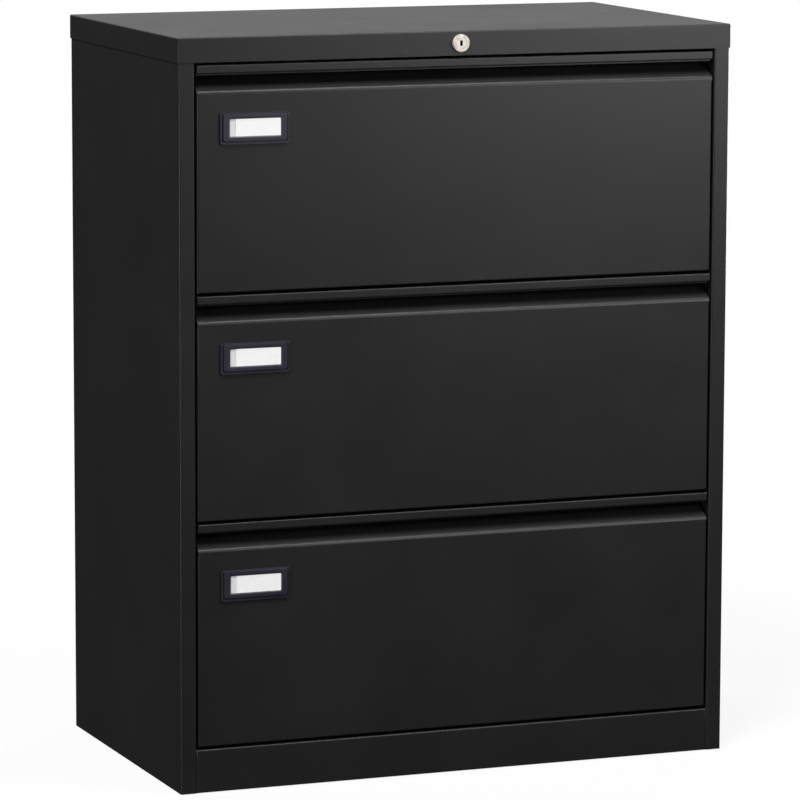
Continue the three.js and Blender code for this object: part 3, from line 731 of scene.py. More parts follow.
@dataclass(frozen=True)
class Finish(ABC):
    """A surface finish.

    Attributes:
        name: The material's name.
        slot: The record's material slot that it dresses.
        dark: Darker base colour.
        pale: Lighter base colour.
        rough: Least and most roughness.
        bump: Depth of the relief in metres.
        specular: Strength of the mirror part.
        metal: How metallic it is.
    """

    name: str
    slot: str
    dark: Colour
    pale: Colour
    rough: Point
    bump: float
    specular: float = 0.5
    metal: float = 0.0

    @cache
    def material(self) -> bpy.types.Material:
        """Makes the material the first time it is asked for.

        Returns:
            The material.
        """
        made = bpy.data.materials.new(self.name)
        graph = Graph.of(made)
        place = graph.node("ShaderNodeTexCoord").outputs["Object"]
        colour, rough, height = self.layers(graph, place)
        relief = {"Strength": 1.0, "Distance": self.bump, "Height": height}
        feeds = {
            "Base Color": colour,
            "Roughness": graph.spread(rough, *NOISE_SPAN, *self.rough),
            "Normal": graph.out("ShaderNodeBump", relief),
            "Specular IOR Level": self.specular,
            "Metallic": self.metal,
        }
        shader = graph.out("ShaderNodeBsdfPrincipled", feeds)
        graph.node("ShaderNodeOutputMaterial", {"Surface": shader})
        return made

    @abstractmethod
    def layers(self, graph: Graph, place: Socket) -> tuple[Socket, Socket, Socket]:
        """Adds the finish's own nodes.

        Args:
            graph: The material's nodes.
            place: Object coordinates.

        Returns:
            The base colour, and from 0 to 1 the roughness between its least and its most
            and the height of the relief.
        """


@dataclass(frozen=True)
class Coat(Finish):
    """Paint, plastic or cast iron: grain, slow clouds and a little dust.

    Attributes:
        grain: Waves to the metre of the coarse grain, the fine grain and the clouds.
        dust: How much dust lies on what faces up.
        dust_colour: Colour of the dust.
    """

    grain: Place = (1500.0, 4200.0, 20.0)
    dust: float = 0.0
    dust_colour: Colour = grey(0.09, 0.04)

    def layers(self, graph: Graph, place: Socket) -> tuple[Socket, Socket, Socket]:
        """Adds grain, clouds and dust.

        Args:
            graph: The material's nodes.
            place: Object coordinates.

        Returns:
            The base colour, the roughness and the height, as in every finish.
        """
        coarse, fine, cloud = self.grain
        grain = Effect.GRAIN.on(graph, place, Coarse=coarse, Fine=fine, Cloud=cloud)
        dust = Effect.DUST.on(graph, place, Amount=self.dust)
        shade = graph.spread(grain["Shade"], *GRAIN_SPAN, 0.0, 1.0)
        colour = graph.blend(shade, self.dark, self.pale)
        colour = graph.blend(dust["Mask"], colour, self.dust_colour)
        return colour, grain["Shade"], grain["Height"]


@dataclass(frozen=True)
class Plate(Finish):
    """Bare or plated metal with rolling marks and blotches.

    Attributes:
        along: Waves to the metre each way; small where the marks run.
        blotch: Waves to the metre of the blotches.
        rough_by: Which of the two makes it rougher.
    """

    metal: float = 1.0
    along: Place = (600.0, 8.0, 600.0)
    blotch: float = 30.0
    rough_by: str = "Streak"

    def layers(self, graph: Graph, place: Socket) -> tuple[Socket, Socket, Socket]:
        """Adds rolling marks and blotches.

        Args:
            graph: The material's nodes.
            place: Object coordinates.

        Returns:
            The base colour, the roughness and the height, as in every finish.
        """
        marks = Effect.STREAKS.on(graph, place, Along=self.along, Blotch=self.blotch)
        shade = graph.spread(marks["Blotch"], *NOISE_SPAN, 0.0, 1.0)
        return graph.blend(shade, self.dark, self.pale), marks[self.rough_by], marks["Streak"]


@dataclass(frozen=True)
class Paper(Plate):
    """Uncoated card with faint fibres, as stretched noise laid both ways."""

    specular: float = 0.25
    metal: float = 0.0
    along: Place = (900.0, 900.0, 2500.0)
    blotch: float = 140.0
    rough_by: str = "Blotch"


POWDER_COAT = Coat(
    "satin_black_powder_coat", "powder_coat", grey(0.0074, -0.02), grey(0.0100, -0.02),
    (0.38, 0.47), 4e-5, grain=(650.0, 2400.0, 7.0), dust=0.03, specular=0.46,
)
ZINC = Plate(
    "zinc_plated_steel", "zinc_steel", grey(0.44, -0.02), grey(0.60, -0.01), (0.26, 0.42), 1e-5
)
NICKEL = Plate(
    "satin_nickel", "nickel", grey(0.38, 0.09), grey(0.80, 0.09), (0.30, 0.42), 4e-6,
    along=(300.0, 40.0, 300.0), blotch=150.0, metal=0.3,
)
PLUG_METAL = Plate(
    "nickel_plated_brass", "plug_metal", grey(0.56, 0.09), grey(0.76, 0.09), (0.30, 0.42), 8e-6,
    along=(260.0, 60.0, 900.0), blotch=150.0, metal=0.3,
)
BLACK_PLASTIC = Coat(
    "moulded_black_plastic", "black_plastic", (0.0118, 0.0090, 0.0186, 1.0),
    (0.0154, 0.0120, 0.0234, 1.0), (0.34, 0.46), 2e-5, dust=0.05, specular=0.72,
)
# Near-black, almost unreflecting finish for the keyway's liner: painted shade for the dark inside
# of the keyhole.
KEYWAY_PAINTED_SHADE = Coat(
    "keyway_painted_shade", "black_plastic", grey(0.0010), grey(0.0020), (0.60, 0.75), 1e-5,
    specular=0.08,
)
CARD = Paper("plain_white_card", "label_card", grey(0.84), grey(0.88), (0.75, 0.90), 1e-5)
PAD = Paper("pale_grey_board", "label_card", grey(0.66), grey(0.70), (0.75, 0.90), 1e-5)
CAST_IRON = Coat(
    "rough_cast_iron", "raw_iron", grey(0.040), grey(0.085, 0.03), (0.55, 0.80), 2.5e-4,
    grain=(260.0, 1100.0, 12.0), dust=0.1, metal=0.6,
)
FINISHES = (POWDER_COAT, ZINC, NICKEL, PLUG_METAL, BLACK_PLASTIC, CARD, CAST_IRON)


class Fixing(Enum):
    """Small parts that repeat, each one a geometry node tree that sets it at given points."""

    SCREW = "cross_head_screw"
    RIVET = "blind_rivet"
    BALL = "bearing_ball"

    @cache
    def tree(self) -> Tree:
        """Builds the fixing's node tree the first time it is asked for.

        Returns:
            The node tree.
        """
        inputs = {
            "Points": "Geometry", "Radius": "Float", "Height": "Float", "Material": "Material"
        }
        graph = Graph.group(self.value, "GeometryNodeTree", inputs, {"Fixings": "Geometry"})
        given = graph.given()
        shape = self._shape(graph, given["Radius"], given["Height"])
        named = {"Name": FACING}
        facing = graph.out("GeometryNodeInputNamedAttribute", named, data_type="FLOAT_VECTOR")
        turn = graph.out("FunctionNodeAlignRotationToVector", {"Vector": facing}, axis="Z")
        return graph.set_out(graph.placed(given["Points"], shape, turn), given["Material"])

    def _shape(self, graph: Graph, radius: Socket, height: Socket) -> Socket:
        """Makes one fixing that stands on its origin, or a ball about it.

        Args:
            graph: The fixing's nodes.
            radius: Its radius.
            height: Its height.

        Returns:
            Its mesh.
        """
        if self is Fixing.BALL:
            ball = {"Segments": BALL_FACETS[0], "Rings": BALL_FACETS[1], "Radius": radius}
            return graph.out("GeometryNodeMeshUVSphere", ball)
        head = {
            "Vertices": HEAD_SIDES, "Radius Top": graph.math("MULTIPLY", radius, HEAD_TAPER),
            "Radius Bottom": radius, "Depth": height,
        }
        cone = graph.out("GeometryNodeMeshCone", head)
        if self is Fixing.RIVET:
            wide = graph.math("MULTIPLY", radius, RIVET_BORE)
            bore = {"Vertices": RIVET_BORE_SIDES, "Radius": wide, "Depth": height}
            tools = [graph.out("GeometryNodeMeshCylinder", bore)]
        else:
            long, wide = (graph.math("MULTIPLY", radius, share) for share in CROSS)
            sizes = ({0: long, 1: wide, 2: height}, {0: wide, 1: long, 2: height})
            bars = [graph.out("ShaderNodeCombineXYZ", size) for size in sizes]
            tools = [graph.out("GeometryNodeMeshCube", {"Size": bar}) for bar in bars]
        return graph.less(cone, [graph.moved(tool, height) for tool in tools])

    def at(
        self, spots: Sequence[tuple[Place, Place]], radius: float, height: float, finish: Finish
    ) -> Solid:
        """Sets the fixing at places.

        Args:
            spots: Each fixing's place and the direction that it faces.
            radius: Its radius.
            height: Its height.
            finish: Its finish.

        Returns:
            All of them as one shape.
        """
        points = Solid()
        layer = points.bm.verts.layers.float_vector.new(FACING)
        for place, facing in spots:
            points.bm.verts.new(place)[layer] = facing
        feeds = {"Radius": radius, "Height": height, "Material": finish.material()}
        return points.through(self.tree(), feeds)


@dataclass(frozen=True)
class SlotRow:
    """A row of round-ended slots that a geometry node tree punches through a sheet.

    Attributes:
        start: Centre of the first slot.
        step: From each slot to the next.
        count: Number of slots.
        size: Length and width of a slot.
        turn: Turn of a slot that lies level along x, as angles about x, y and z in degrees.
        depth: How far a cutter runs through the sheet.
    """

    start: Place
    step: Place
    count: int
    size: Point
    turn: Place
    depth: float = 6.0

    def punch(self, sheet: Solid, finish: Finish) -> Solid:
        """Punches the row through a sheet.

        Args:
            sheet: The sheet.
            finish: The sheet's finish.

        Returns:
            The sheet with the slots in it.
        """
        feeds = {
            "Start": self.start, "Step": self.step, "Count": self.count, "Length": self.size[0],
            "Width": self.size[1], "Depth": self.depth, "Material": finish.material(),
            "Turn": tuple(math.radians(angle) for angle in self.turn),
        }
        return sheet.through(self.tree(), feeds)

    @staticmethod
    @cache
    def tree() -> Tree:
        """Builds the punch's node tree the first time it is asked for.

        Returns:
            The node tree.
        """
        inputs = {
            "Sheet": "Geometry", "Start": "Vector", "Step": "Vector", "Count": "Int",
            "Length": "Float", "Width": "Float", "Depth": "Float", "Turn": "Vector",
            "Material": "Material",
        }
        graph = Graph.group("punched_slots", "GeometryNodeTree", inputs, {"Sheet": "Geometry"})
        given = graph.given()
        size = {"Width": given["Length"], "Height": given["Width"]}
        ends = {
            "Curve": graph.out("GeometryNodeCurvePrimitiveQuadrilateral", size),
            "Count": FOLD_STEPS, "Radius": graph.math("MULTIPLY", given["Width"], SLOT_ROUND),
        }
        loop = graph.out("GeometryNodeFilletCurve", ends, mode="POLY")
        face = graph.out("GeometryNodeFillCurve", {"Curve": loop}, mode="NGONS")
        tall = {"Mesh": face, "Offset Scale": given["Depth"]}
        upper = graph.out("GeometryNodeExtrudeMesh", tall)
        lower = graph.out("GeometryNodeFlipFaces", {0: face})
        shell = graph.out("GeometryNodeJoinGeometry", {0: [upper, lower]})
        solid = graph.out("GeometryNodeMergeByDistance", {0: shell})
        cutter = graph.moved(solid, graph.math("MULTIPLY", given["Depth"], -0.5))
        line = {"Count": given["Count"], "Start Location": given["Start"], "Offset": given["Step"]}
        points = graph.out("GeometryNodeMeshLine", line)
        cutters = graph.placed(points, cutter, given["Turn"])
        return graph.set_out(graph.less(given["Sheet"], [cutters]), given["Material"])


def dress(piece: bpy.types.Object, finish: Finish, body: str, *nodes: str) -> None:
    """Gives a piece its material and its body, and hides the CAD nodes that it stands for.

    Args:
        piece: The finished piece.
        finish: Its finish.
        body: The body that it moves with.
        nodes: The CAD nodes that it stands for.
    """
    piece.data.materials.clear()
    piece.data.materials.append(finish.material())
    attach(piece, body)
    if nodes:
        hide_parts(*nodes)
    log.info("%s: %d faces on %s, %s", piece.name, len(piece.data.polygons), body, finish.name)


@dataclass
class Carcass:
    """Folded shell of the cabinet: cap, side panels and kick plate.

    Attributes:
        return_depth: Depth of the side panel's inner return.
        rear_flange: Width of the side panel's rear flange.
        kick_foot: Depth of the kick plate's lower flange.
        cap_radius: Outside radius of the cap's folds.
        lock_bore: Radius of the hole for the lock.
        slot_reach: Hook slot's front edge before the drawer's catch.
        slot_drop: Hook slot's lower edge below the catch's.
        slot_rise: Hook slot's upper edge above the catch's lower edge.
        stem_hole: Radius of the kick plate's holes for the feet's stems.
        rivet: Radius and height of a rear rivet's head.
        rivet_count: Number of rivets on each side.
        rivet_inset: First and last rivet from the panel's ends.
        body: The body that it belongs to.
    """

    return_depth: float = 60.0
    rear_flange: float = 18.0
    kick_foot: float = 15.0
    cap_radius: float = 2.0
    lock_bore: float = 9.8
    slot_reach: float = 3.8
    slot_drop: float = 15.0
    slot_rise: float = 10.0
    stem_hole: float = 5.3
    rivet: Point = (3.2, 1.0)
    rivet_count: int = 7
    rivet_inset: float = 60.0
    body: str = "cabinet"

    def build(self) -> None:
        """Makes and dresses every piece of the shell."""
        self.cap()
        self.kick()
        for name, side in SIDES:
            self.side_panel(name, side)
        self.rivets()

    def rivets(self) -> None:
        """The rivets through the side panels' rear flanges."""
        low, high = node_box("right_side_panel")
        x = high.x - self.rear_flange / 2
        pitch = (high.z - low.z - 2 * self.rivet_inset) / (self.rivet_count - 1)
        spots = [
            ((side * x, high.y, low.z + self.rivet_inset + pitch * index), (0.0, 1.0, 0.0))
            for _, side in SIDES
            for index in range(self.rivet_count)
        ]
        heads = Fixing.RIVET.at(spots, *self.rivet, ZINC)
        dress(heads.piece("rear_flange_rivets"), ZINC, self.body)

    def cap(self) -> None:
        """The lid, with rounded upper edges and corners and a bore for the lock."""
        low, high = node_box("top_cap")
        lid = self._lid(low, high, self.cap_radius)
        inner_low = low + Vector((SHEET, SHEET, -CUT_MARGIN))
        lid.cut(self._lid(inner_low, high - Vector((SHEET,) * 3), self.cap_radius - SHEET))
        hole = circle(self.lock_bore, (0.0, middle("lock_housing").z))
        lid.cut(Solid().prism(hole, Axis.Y, low.y - CUT_MARGIN, CUT_MARGIN))
        dress(lid.piece("cap_lid"), POWDER_COAT, self.body, "top_cap")

    @staticmethod
    def _lid(low: Vector, high: Vector, radius: float) -> Solid:
        """A block with its upright and upper edges rounded.

        Args:
            low: Its lowest corner.
            high: Its highest corner.
            radius: Radius of its edges.

        Returns:
            The block.
        """
        x, y = (low.x, high.x), (low.y, high.y)
        loops = [(rounded_loop(x, y, radius), low.z)]
        for step in range(FOLD_STEPS + 1):
            angle = math.pi / 2 * step / FOLD_STEPS
            inset = radius * (1 - math.cos(angle))
            corner = max(radius - inset, LEAST_RADIUS)
            loop = rounded_loop(grown(x, -inset), grown(y, -inset), corner)
            loops.append((loop, high.z - radius + radius * math.sin(angle)))
        return Solid().stack(loops, Axis.Z)

    def side_panel(self, name: str, side: int) -> None:
        """A side panel in one sheet: inner return, front flange, wall and rear flange.

        Args:
            name: Which side.
            side: -1 on the left and 1 on the right.
        """
        low, high = node_box(f"{name}_side_panel")
        inner, outer = sorted((abs(low.x), abs(high.x)))
        corners = [
            (inner, self.return_depth), (inner, 0.0), (outer, 0.0),
            (outer, high.y), (outer - self.rear_flange, high.y),
        ]
        sheet = FoldedSheet([(side * x, y) for x, y in corners], side * SHEET)
        panel = sheet.along(Axis.Z, low.z, high.z)
        returns = sorted((side * (inner - CUT_MARGIN), side * (inner + SHEET + BEND)))
        behind = (SHEET, self.return_depth + CUT_MARGIN)
        under_cap = (node_box("top_cap")[0].z - SEAT, high.z + CUT_MARGIN)
        panel.cut(Solid().block(returns, behind, under_cap))
        if side > 0:
            for number in DRAWERS:
                panel.cut(self._hook_slot(returns, number))
        dress(panel.piece(f"{name}_side_sheet"), POWDER_COAT, self.body, f"{name}_side_panel")

    def _hook_slot(self, x: Sequence[float], number: int) -> Solid:
        """What the slot for a lock bar's hook takes out of the return.

        Args:
            x: Limits of the cut across the return.
            number: The drawer whose catch it is beside.

        Returns:
            The shape to cut away.
        """
        catch = node_box(f"drawer_{number}_lock_catch")[0]
        y = (catch.y - self.slot_reach, catch.y - SEAT)
        return Solid().block(x, y, (catch.z - self.slot_drop, catch.z + self.slot_rise))

    def kick(self) -> None:
        """The kick plate: lower flange, face, shelf, and a flange back from each end."""
        low, high = node_box("kick_plate")
        corners = [(high.y, high.z), (0.0, high.z), (0.0, low.z), (self.kick_foot, low.z)]
        plate = FoldedSheet(corners, SHEET).along(Axis.X, low.x, high.x)
        inside = (low.z + 2 * SHEET, high.z - 2 * SHEET)
        past = grown((low.z, high.z), CUT_MARGIN)
        end_folds(plate, (low.x, high.x), self.kick_foot, past, inside)
        for name, _ in SIDES:
            foot = f"front_{name}_foot"
            hole = circle(self.stem_hole, tuple(middle(foot))[:2])
            plate.cut(Solid().prism(hole, Axis.Z, inside[1], node_box(foot)[1].z))
        dress(plate.piece("kick_sheet"), POWDER_COAT, self.body, "kick_plate")


@dataclass
class Drawer:
    """A drawer: its folded front with the full-width pull, label holder, tray and runners.

    Attributes:
        number: 1 for the top drawer.
        lip: Height of the pull's lip.
        opening: Finger gap between the lip and the face.
        depth: Front face to the recess's back wall.
        rise: Climb of the recess's slope.
        hem: Fold behind the lip's lower edge.
        hem_drop: How far the hem's own edge hangs below the lip.
        pull_bend: Inside radius of the bend at the face's upper edge.
        lip_bend: Inside radius of the lip's folds.
        side_flange: Depth of the fold at each side.
        weld_flange: Height of the flange behind the face's foot.
    """

    number: int
    lip: float = 11.0
    opening: float = 24.3
    depth: float = 32.0
    rise: float = 20.0
    hem: float = 8.5
    hem_drop: float = 2.7
    pull_bend: float = 5.0
    lip_bend: float = 0.4
    side_flange: float = 18.0
    weld_flange: float = 30.0

    def build(self) -> None:
        """Makes and dresses every piece of the drawer."""
        self.front()
        LabelHolder(self.number).build()
        Tray(self.number).build()
        Runners(self.number).build()

    def front(self) -> None:
        """The front in one sheet, from its weld flange through the face to the pull lip."""
        body = f"drawer_{self.number}"
        low, high = node_box(f"{body}_front")
        lip_low = high.z - self.lip
        face_top = lip_low - self.opening
        back = self.depth + SHEET
        corners = [
            (back, low.z + self.weld_flange),
            (back, low.z),
            (0.0, low.z),
            (0.0, face_top),
            (self.depth, face_top + self.rise),
            (self.depth, high.z - SHEET),
            (SHEET, high.z - SHEET),
            (SHEET, lip_low + SHEET),
            (self.hem, lip_low + SHEET),
            (self.hem, lip_low - self.hem_drop),
        ]
        pull, lip = corners.index((0.0, face_top)), corners.index((SHEET, high.z - SHEET))
        own_bends = {pull: self.pull_bend, **dict.fromkeys(range(lip, lip + 3), self.lip_bend)}
        sheet = FoldedSheet(corners, -SHEET, own_bends=own_bends)
        front = sheet.along(Axis.X, low.x, high.x)
        fold_top = face_top - self.pull_bend
        cut, run = (low.z - CUT_MARGIN, fold_top), (low.z + BEND + SHEET, fold_top)
        end_folds(front, (low.x, high.x), self.side_flange, cut, run)
        dress(front.piece(f"{body}_pull_front"), POWDER_COAT, body, f"{body}_front")


@dataclass
class Tray:
    """A drawer's tray: floor and end walls in one sheet, hemmed sides, file rails and screws.

    Attributes:
        number: The drawer's number.
        side_height: Height of the sides.
        hem: Inward fold on the sides.
        hem_lap: Height of the hem's own wall.
        gusset_top: Length of a side's corner at its top.
        gusset_run: How far the corner runs out below.
        slot: Length and width of the floor's divider slots.
        slot_turn: Turn of a slot about x, y and z, in degrees.
        slot_pitch: From each slot to the next.
        slot_count: Number of slots in a row.
        slot_inset: Middle of a row to the end wall.
        rail_blade: Height of the file rails' blade.
        screw: Radius and height of a screw head.
        screw_inset: Side screws from the tray's ends.
        front_screws: Places of the front's screws along the width.
        front_screw_lift: Front's screws above the tray's floor.
        body: The drawer's body.
        low: The tray's lowest corner.
        high: The tray's highest corner.
    """

    number: int
    side_height: float = 130.0
    hem: float = 10.0
    hem_lap: float = 12.0
    gusset_top: float = 25.0
    gusset_run: float = 70.0
    slot: Point = (60.0, 5.0)
    slot_turn: Place = (0.0, 0.0, 90.0)
    slot_pitch: float = 40.0
    slot_count: int = 17
    slot_inset: float = 75.0
    rail_blade: float = 14.0
    screw: Point = (4.2, 2.0)
    screw_inset: float = 50.0
    front_screws: tuple[float, ...] = (-285.0, -95.0, 95.0, 285.0)
    front_screw_lift: float = 10.0
    body: str = field(init=False)
    low: Vector = field(init=False)
    high: Vector = field(init=False)

    def __post_init__(self) -> None:
        """Names the drawer's body and finds the tray's limits."""
        self.body = f"drawer_{self.number}"
        self.low, self.high = node_box(f"{self.body}_tray")

    def build(self) -> None:
        """Makes and dresses the tray, its rails and its screws."""
        self.shell()
        self.rails()
        self.screws()

    def shell(self) -> None:
        """The folded tray with its divider slots."""
        low, high = self.low, self.high
        walls = [(low.y, high.z), (low.y, low.z), (high.y, low.z), (high.y, high.z)]
        tray = FoldedSheet(walls, SHEET).along(Axis.X, low.x, high.x)
        corner = BEND + SHEET
        side_top = low.z + self.side_height
        plate_top = side_top - self.hem_lap / 2
        run = self.gusset_top + self.gusset_run
        plate = [
            (low.y, low.z + corner), (low.y + corner, low.z),
            (high.y - corner, low.z), (high.y, low.z + corner),
            (high.y, high.z), (high.y - self.gusset_top, high.z), (high.y - run, plate_top),
            (low.y + run, plate_top), (low.y + self.gusset_top, high.z), (low.y, high.z),
        ]
        for (_, side), edge in zip(SIDES, (low.x, high.x)):
            tray.join(Solid().prism(plate, Axis.X, edge, edge - side * SHEET))
            hem = [
                (edge, side_top - self.hem_lap), (edge, side_top),
                (edge - side * self.hem, side_top),
            ]
            sheet = FoldedSheet(hem, side * SHEET)
            tray.join(sheet.along(Axis.Y, low.y + run, high.y - run))
        first = -self.slot_pitch * (self.slot_count - 1) / 2
        for y in (low.y + self.slot_inset, high.y - self.slot_inset):
            start, step = (first, y, low.z), (self.slot_pitch, 0.0, 0.0)
            row = SlotRow(start, step, self.slot_count, self.slot, self.slot_turn)
            tray = row.punch(tray, POWDER_COAT)
        dress(tray.piece(f"{self.body}_file_tray"), POWDER_COAT, self.body, f"{self.body}_tray")

    def rails(self) -> None:
        """The hanging-file rails: a leg on the wall, a step inwards and an upright blade."""
        for name, way in (("front", 1), ("rear", -1)):
            node = f"{self.body}_{name}_rail"
            low, high = node_box(node)
            wall = low.y if way > 0 else high.y
            blade = wall + way * (high.y - low.y - SHEET)
            step = high.z - self.rail_blade
            corners = [(wall, low.z), (wall, step), (blade, step), (blade, high.z)]
            rail = FoldedSheet(corners, -way * SHEET).along(Axis.X, low.x, high.x)
            dress(rail.piece(f"{self.body}_{name}_file_rail"), ZINC, self.body, node)

    def screws(self) -> None:
        """The screws that hold the runners and the drawer front, seen inside the tray."""
        low, high = self.low, self.high
        level = middle(f"{self.body}_left_drawer_runner").z
        spots = [
            ((side * (high.x - SHEET), y, level), (-side, 0.0, 0.0))
            for _, side in SIDES
            for y in (low.y + self.screw_inset, (low.y + high.y) / 2, high.y - self.screw_inset)
        ]
        front = (low.y + SHEET, low.z + self.front_screw_lift)
        spots += [((x, *front), (0.0, 1.0, 0.0)) for x in self.front_screws]
        heads = Fixing.SCREW.at(spots, *self.screw, ZINC)
        dress(heads.piece(f"{self.body}_tray_screws"), ZINC, self.body)


@dataclass
class Runners:
    """A drawer's two telescopic runners, with balls in cages on the middle members.

    Attributes:
        number: The drawer's number.
        sheet: Thickness of the members.
        bend: Inside radius of their folds.
        lip: Height of the lips.
        play: Gap between the members.
        ball: Radius of a ball.
        ball_pitch: From each ball to the next.
        cage_half: Half the cage's width.
        cage_sheet: Half the cage's thickness.
        end_gap: Cage to the runner's ends.
        slot: Length and width of the slots in the webs.
        slot_turn: Turn of a slot about x, y and z, in degrees.
        slot_count: Number of slots.
    """

    number: int
    sheet: float = 1.2
    bend: float = 0.4
    lip: float = 4.0
    play: float = 0.4
    ball: float = 1.4
    ball_pitch: float = 12.0
    cage_half: float = 2.0
    cage_sheet: float = 0.4
    end_gap: float = 10.0
    slot: Point = (22.0, 5.0)
    slot_turn: Place = (90.0, 0.0, 90.0)
    slot_count: int = 5

    def build(self) -> None:
        """Makes and dresses the members, the cages and the balls."""
        drawer = f"drawer_{self.number}"
        moving = f"{drawer}_middle_runners"
        spots = []
        for name, side in SIDES:
            cabinet, middle_node, inner = (
                f"{drawer}_{name}_{member}_runner" for member in ("cabinet", "middle", "drawer")
            )
            rail = self._channel(cabinet, side, 0.0)
            dress(rail.piece(f"{cabinet}_rail"), ZINC, "cabinet", cabinet)
            rail = self._drawer_member(inner, side)
            dress(rail.piece(f"{inner}_rail"), ZINC, drawer, inner)
            tops = (node_box(cabinet)[1].z, node_box(inner)[1].z)
            rail = self._middle_member(middle_node, side, tops, spots)
            dress(rail.piece(f"{middle_node}_rail"), ZINC, moving, middle_node)
        balls = Fixing.BALL.at(spots, self.ball, self.ball, ZINC)
        dress(balls.piece(f"{drawer}_runner_balls"), ZINC, moving)

    def _channel(self, node: str, side: int, inset: float) -> Solid:
        """A lipped channel that opens towards the drawer.

        Args:
            node: The CAD node that gives its limits.
            side: -1 on the left and 1 on the right.
            inset: How far its flanges lie inside the node's upper and lower limits.

        Returns:
            The channel with slots in its web.
        """
        low, high = node_box(node)
        edge, web = sorted((abs(low.x), abs(high.x)))
        bottom, top = grown((low.z, high.z), -inset)
        corners = [
            (edge, bottom + self.lip), (edge, bottom), (web, bottom),
            (web, top), (edge, top), (edge, top - self.lip),
        ]
        return self._slotted(node, corners, side, self.sheet, web)

    def _drawer_member(self, node: str, side: int) -> Solid:
        """The plain channel on the drawer, which opens towards the cabinet.

        Args:
            node: The CAD node that gives its limits.
            side: -1 on the left and 1 on the right.

        Returns:
            The channel with slots in its web.
        """
        low, high = node_box(node)
        web, edge = sorted((abs(low.x), abs(high.x)))
        corners = [(edge, low.z), (web, low.z), (web, high.z), (edge, high.z)]
        return self._slotted(node, corners, side, -self.sheet, web)

    def _slotted(
        self, node: str, corners: Sequence[Point], side: int, sheet: float, web: float
    ) -> Solid:
        """A member along a runner's length, with a row of slots in its web.

        Args:
            node: The CAD node that gives its length.
            corners: Its section's corners, as on the right.
            side: -1 on the left and 1 on the right.
            sheet: Its thickness, as on the right.
            web: Where its web is, as on the right.

        Returns:
            The member.
        """
        low, high = node_box(node)
        section = FoldedSheet([(side * x, z) for x, z in corners], side * sheet, self.bend)
        member = section.along(Axis.Y, low.y, high.y)
        pitch = (high.y - low.y) / self.slot_count
        start = (side * web, low.y + pitch / 2, (low.z + high.z) / 2)
        step = (0.0, pitch, 0.0)
        row = SlotRow(start, step, self.slot_count, self.slot, self.slot_turn)
        return row.punch(member, ZINC)

    def _middle_member(
        self, node: str, side: int, tops: Point, spots: list[tuple[Place, Place]]
    ) -> Solid:
        """The middle member with its cages.

        Args:
            node: The CAD node that gives its limits.
            side: -1 on the left and 1 on the right.
            tops: Upper edge of the cabinet's member and of the drawer's.
            spots: Takes the places of the balls.

        Returns:
            The member.
        """
        low, high = node_box(node)
        flange = tops[0] - self.lip - self.play
        member = self._channel(node, side, high.z - flange)
        across, _, level = middle(node)
        run = grown((low.y, high.y), -self.end_gap)
        count = int((run[1] - run[0]) / self.ball_pitch)
        rows = ((flange + tops[0] - self.sheet) / 2, (tops[1] + flange - self.sheet) / 2)
        for height in (row - level for row in rows):
            for z in (level - height, level + height):
                x = grown((across, across), self.cage_half)
                member.add(Solid().block(x, run, grown((z, z), self.cage_sheet)))
                spots += [
                    ((across, run[0] + self.ball_pitch * (index + 0.5), z), (0.0, 0.0, 1.0))
                    for index in range(count)
                ]
        return member


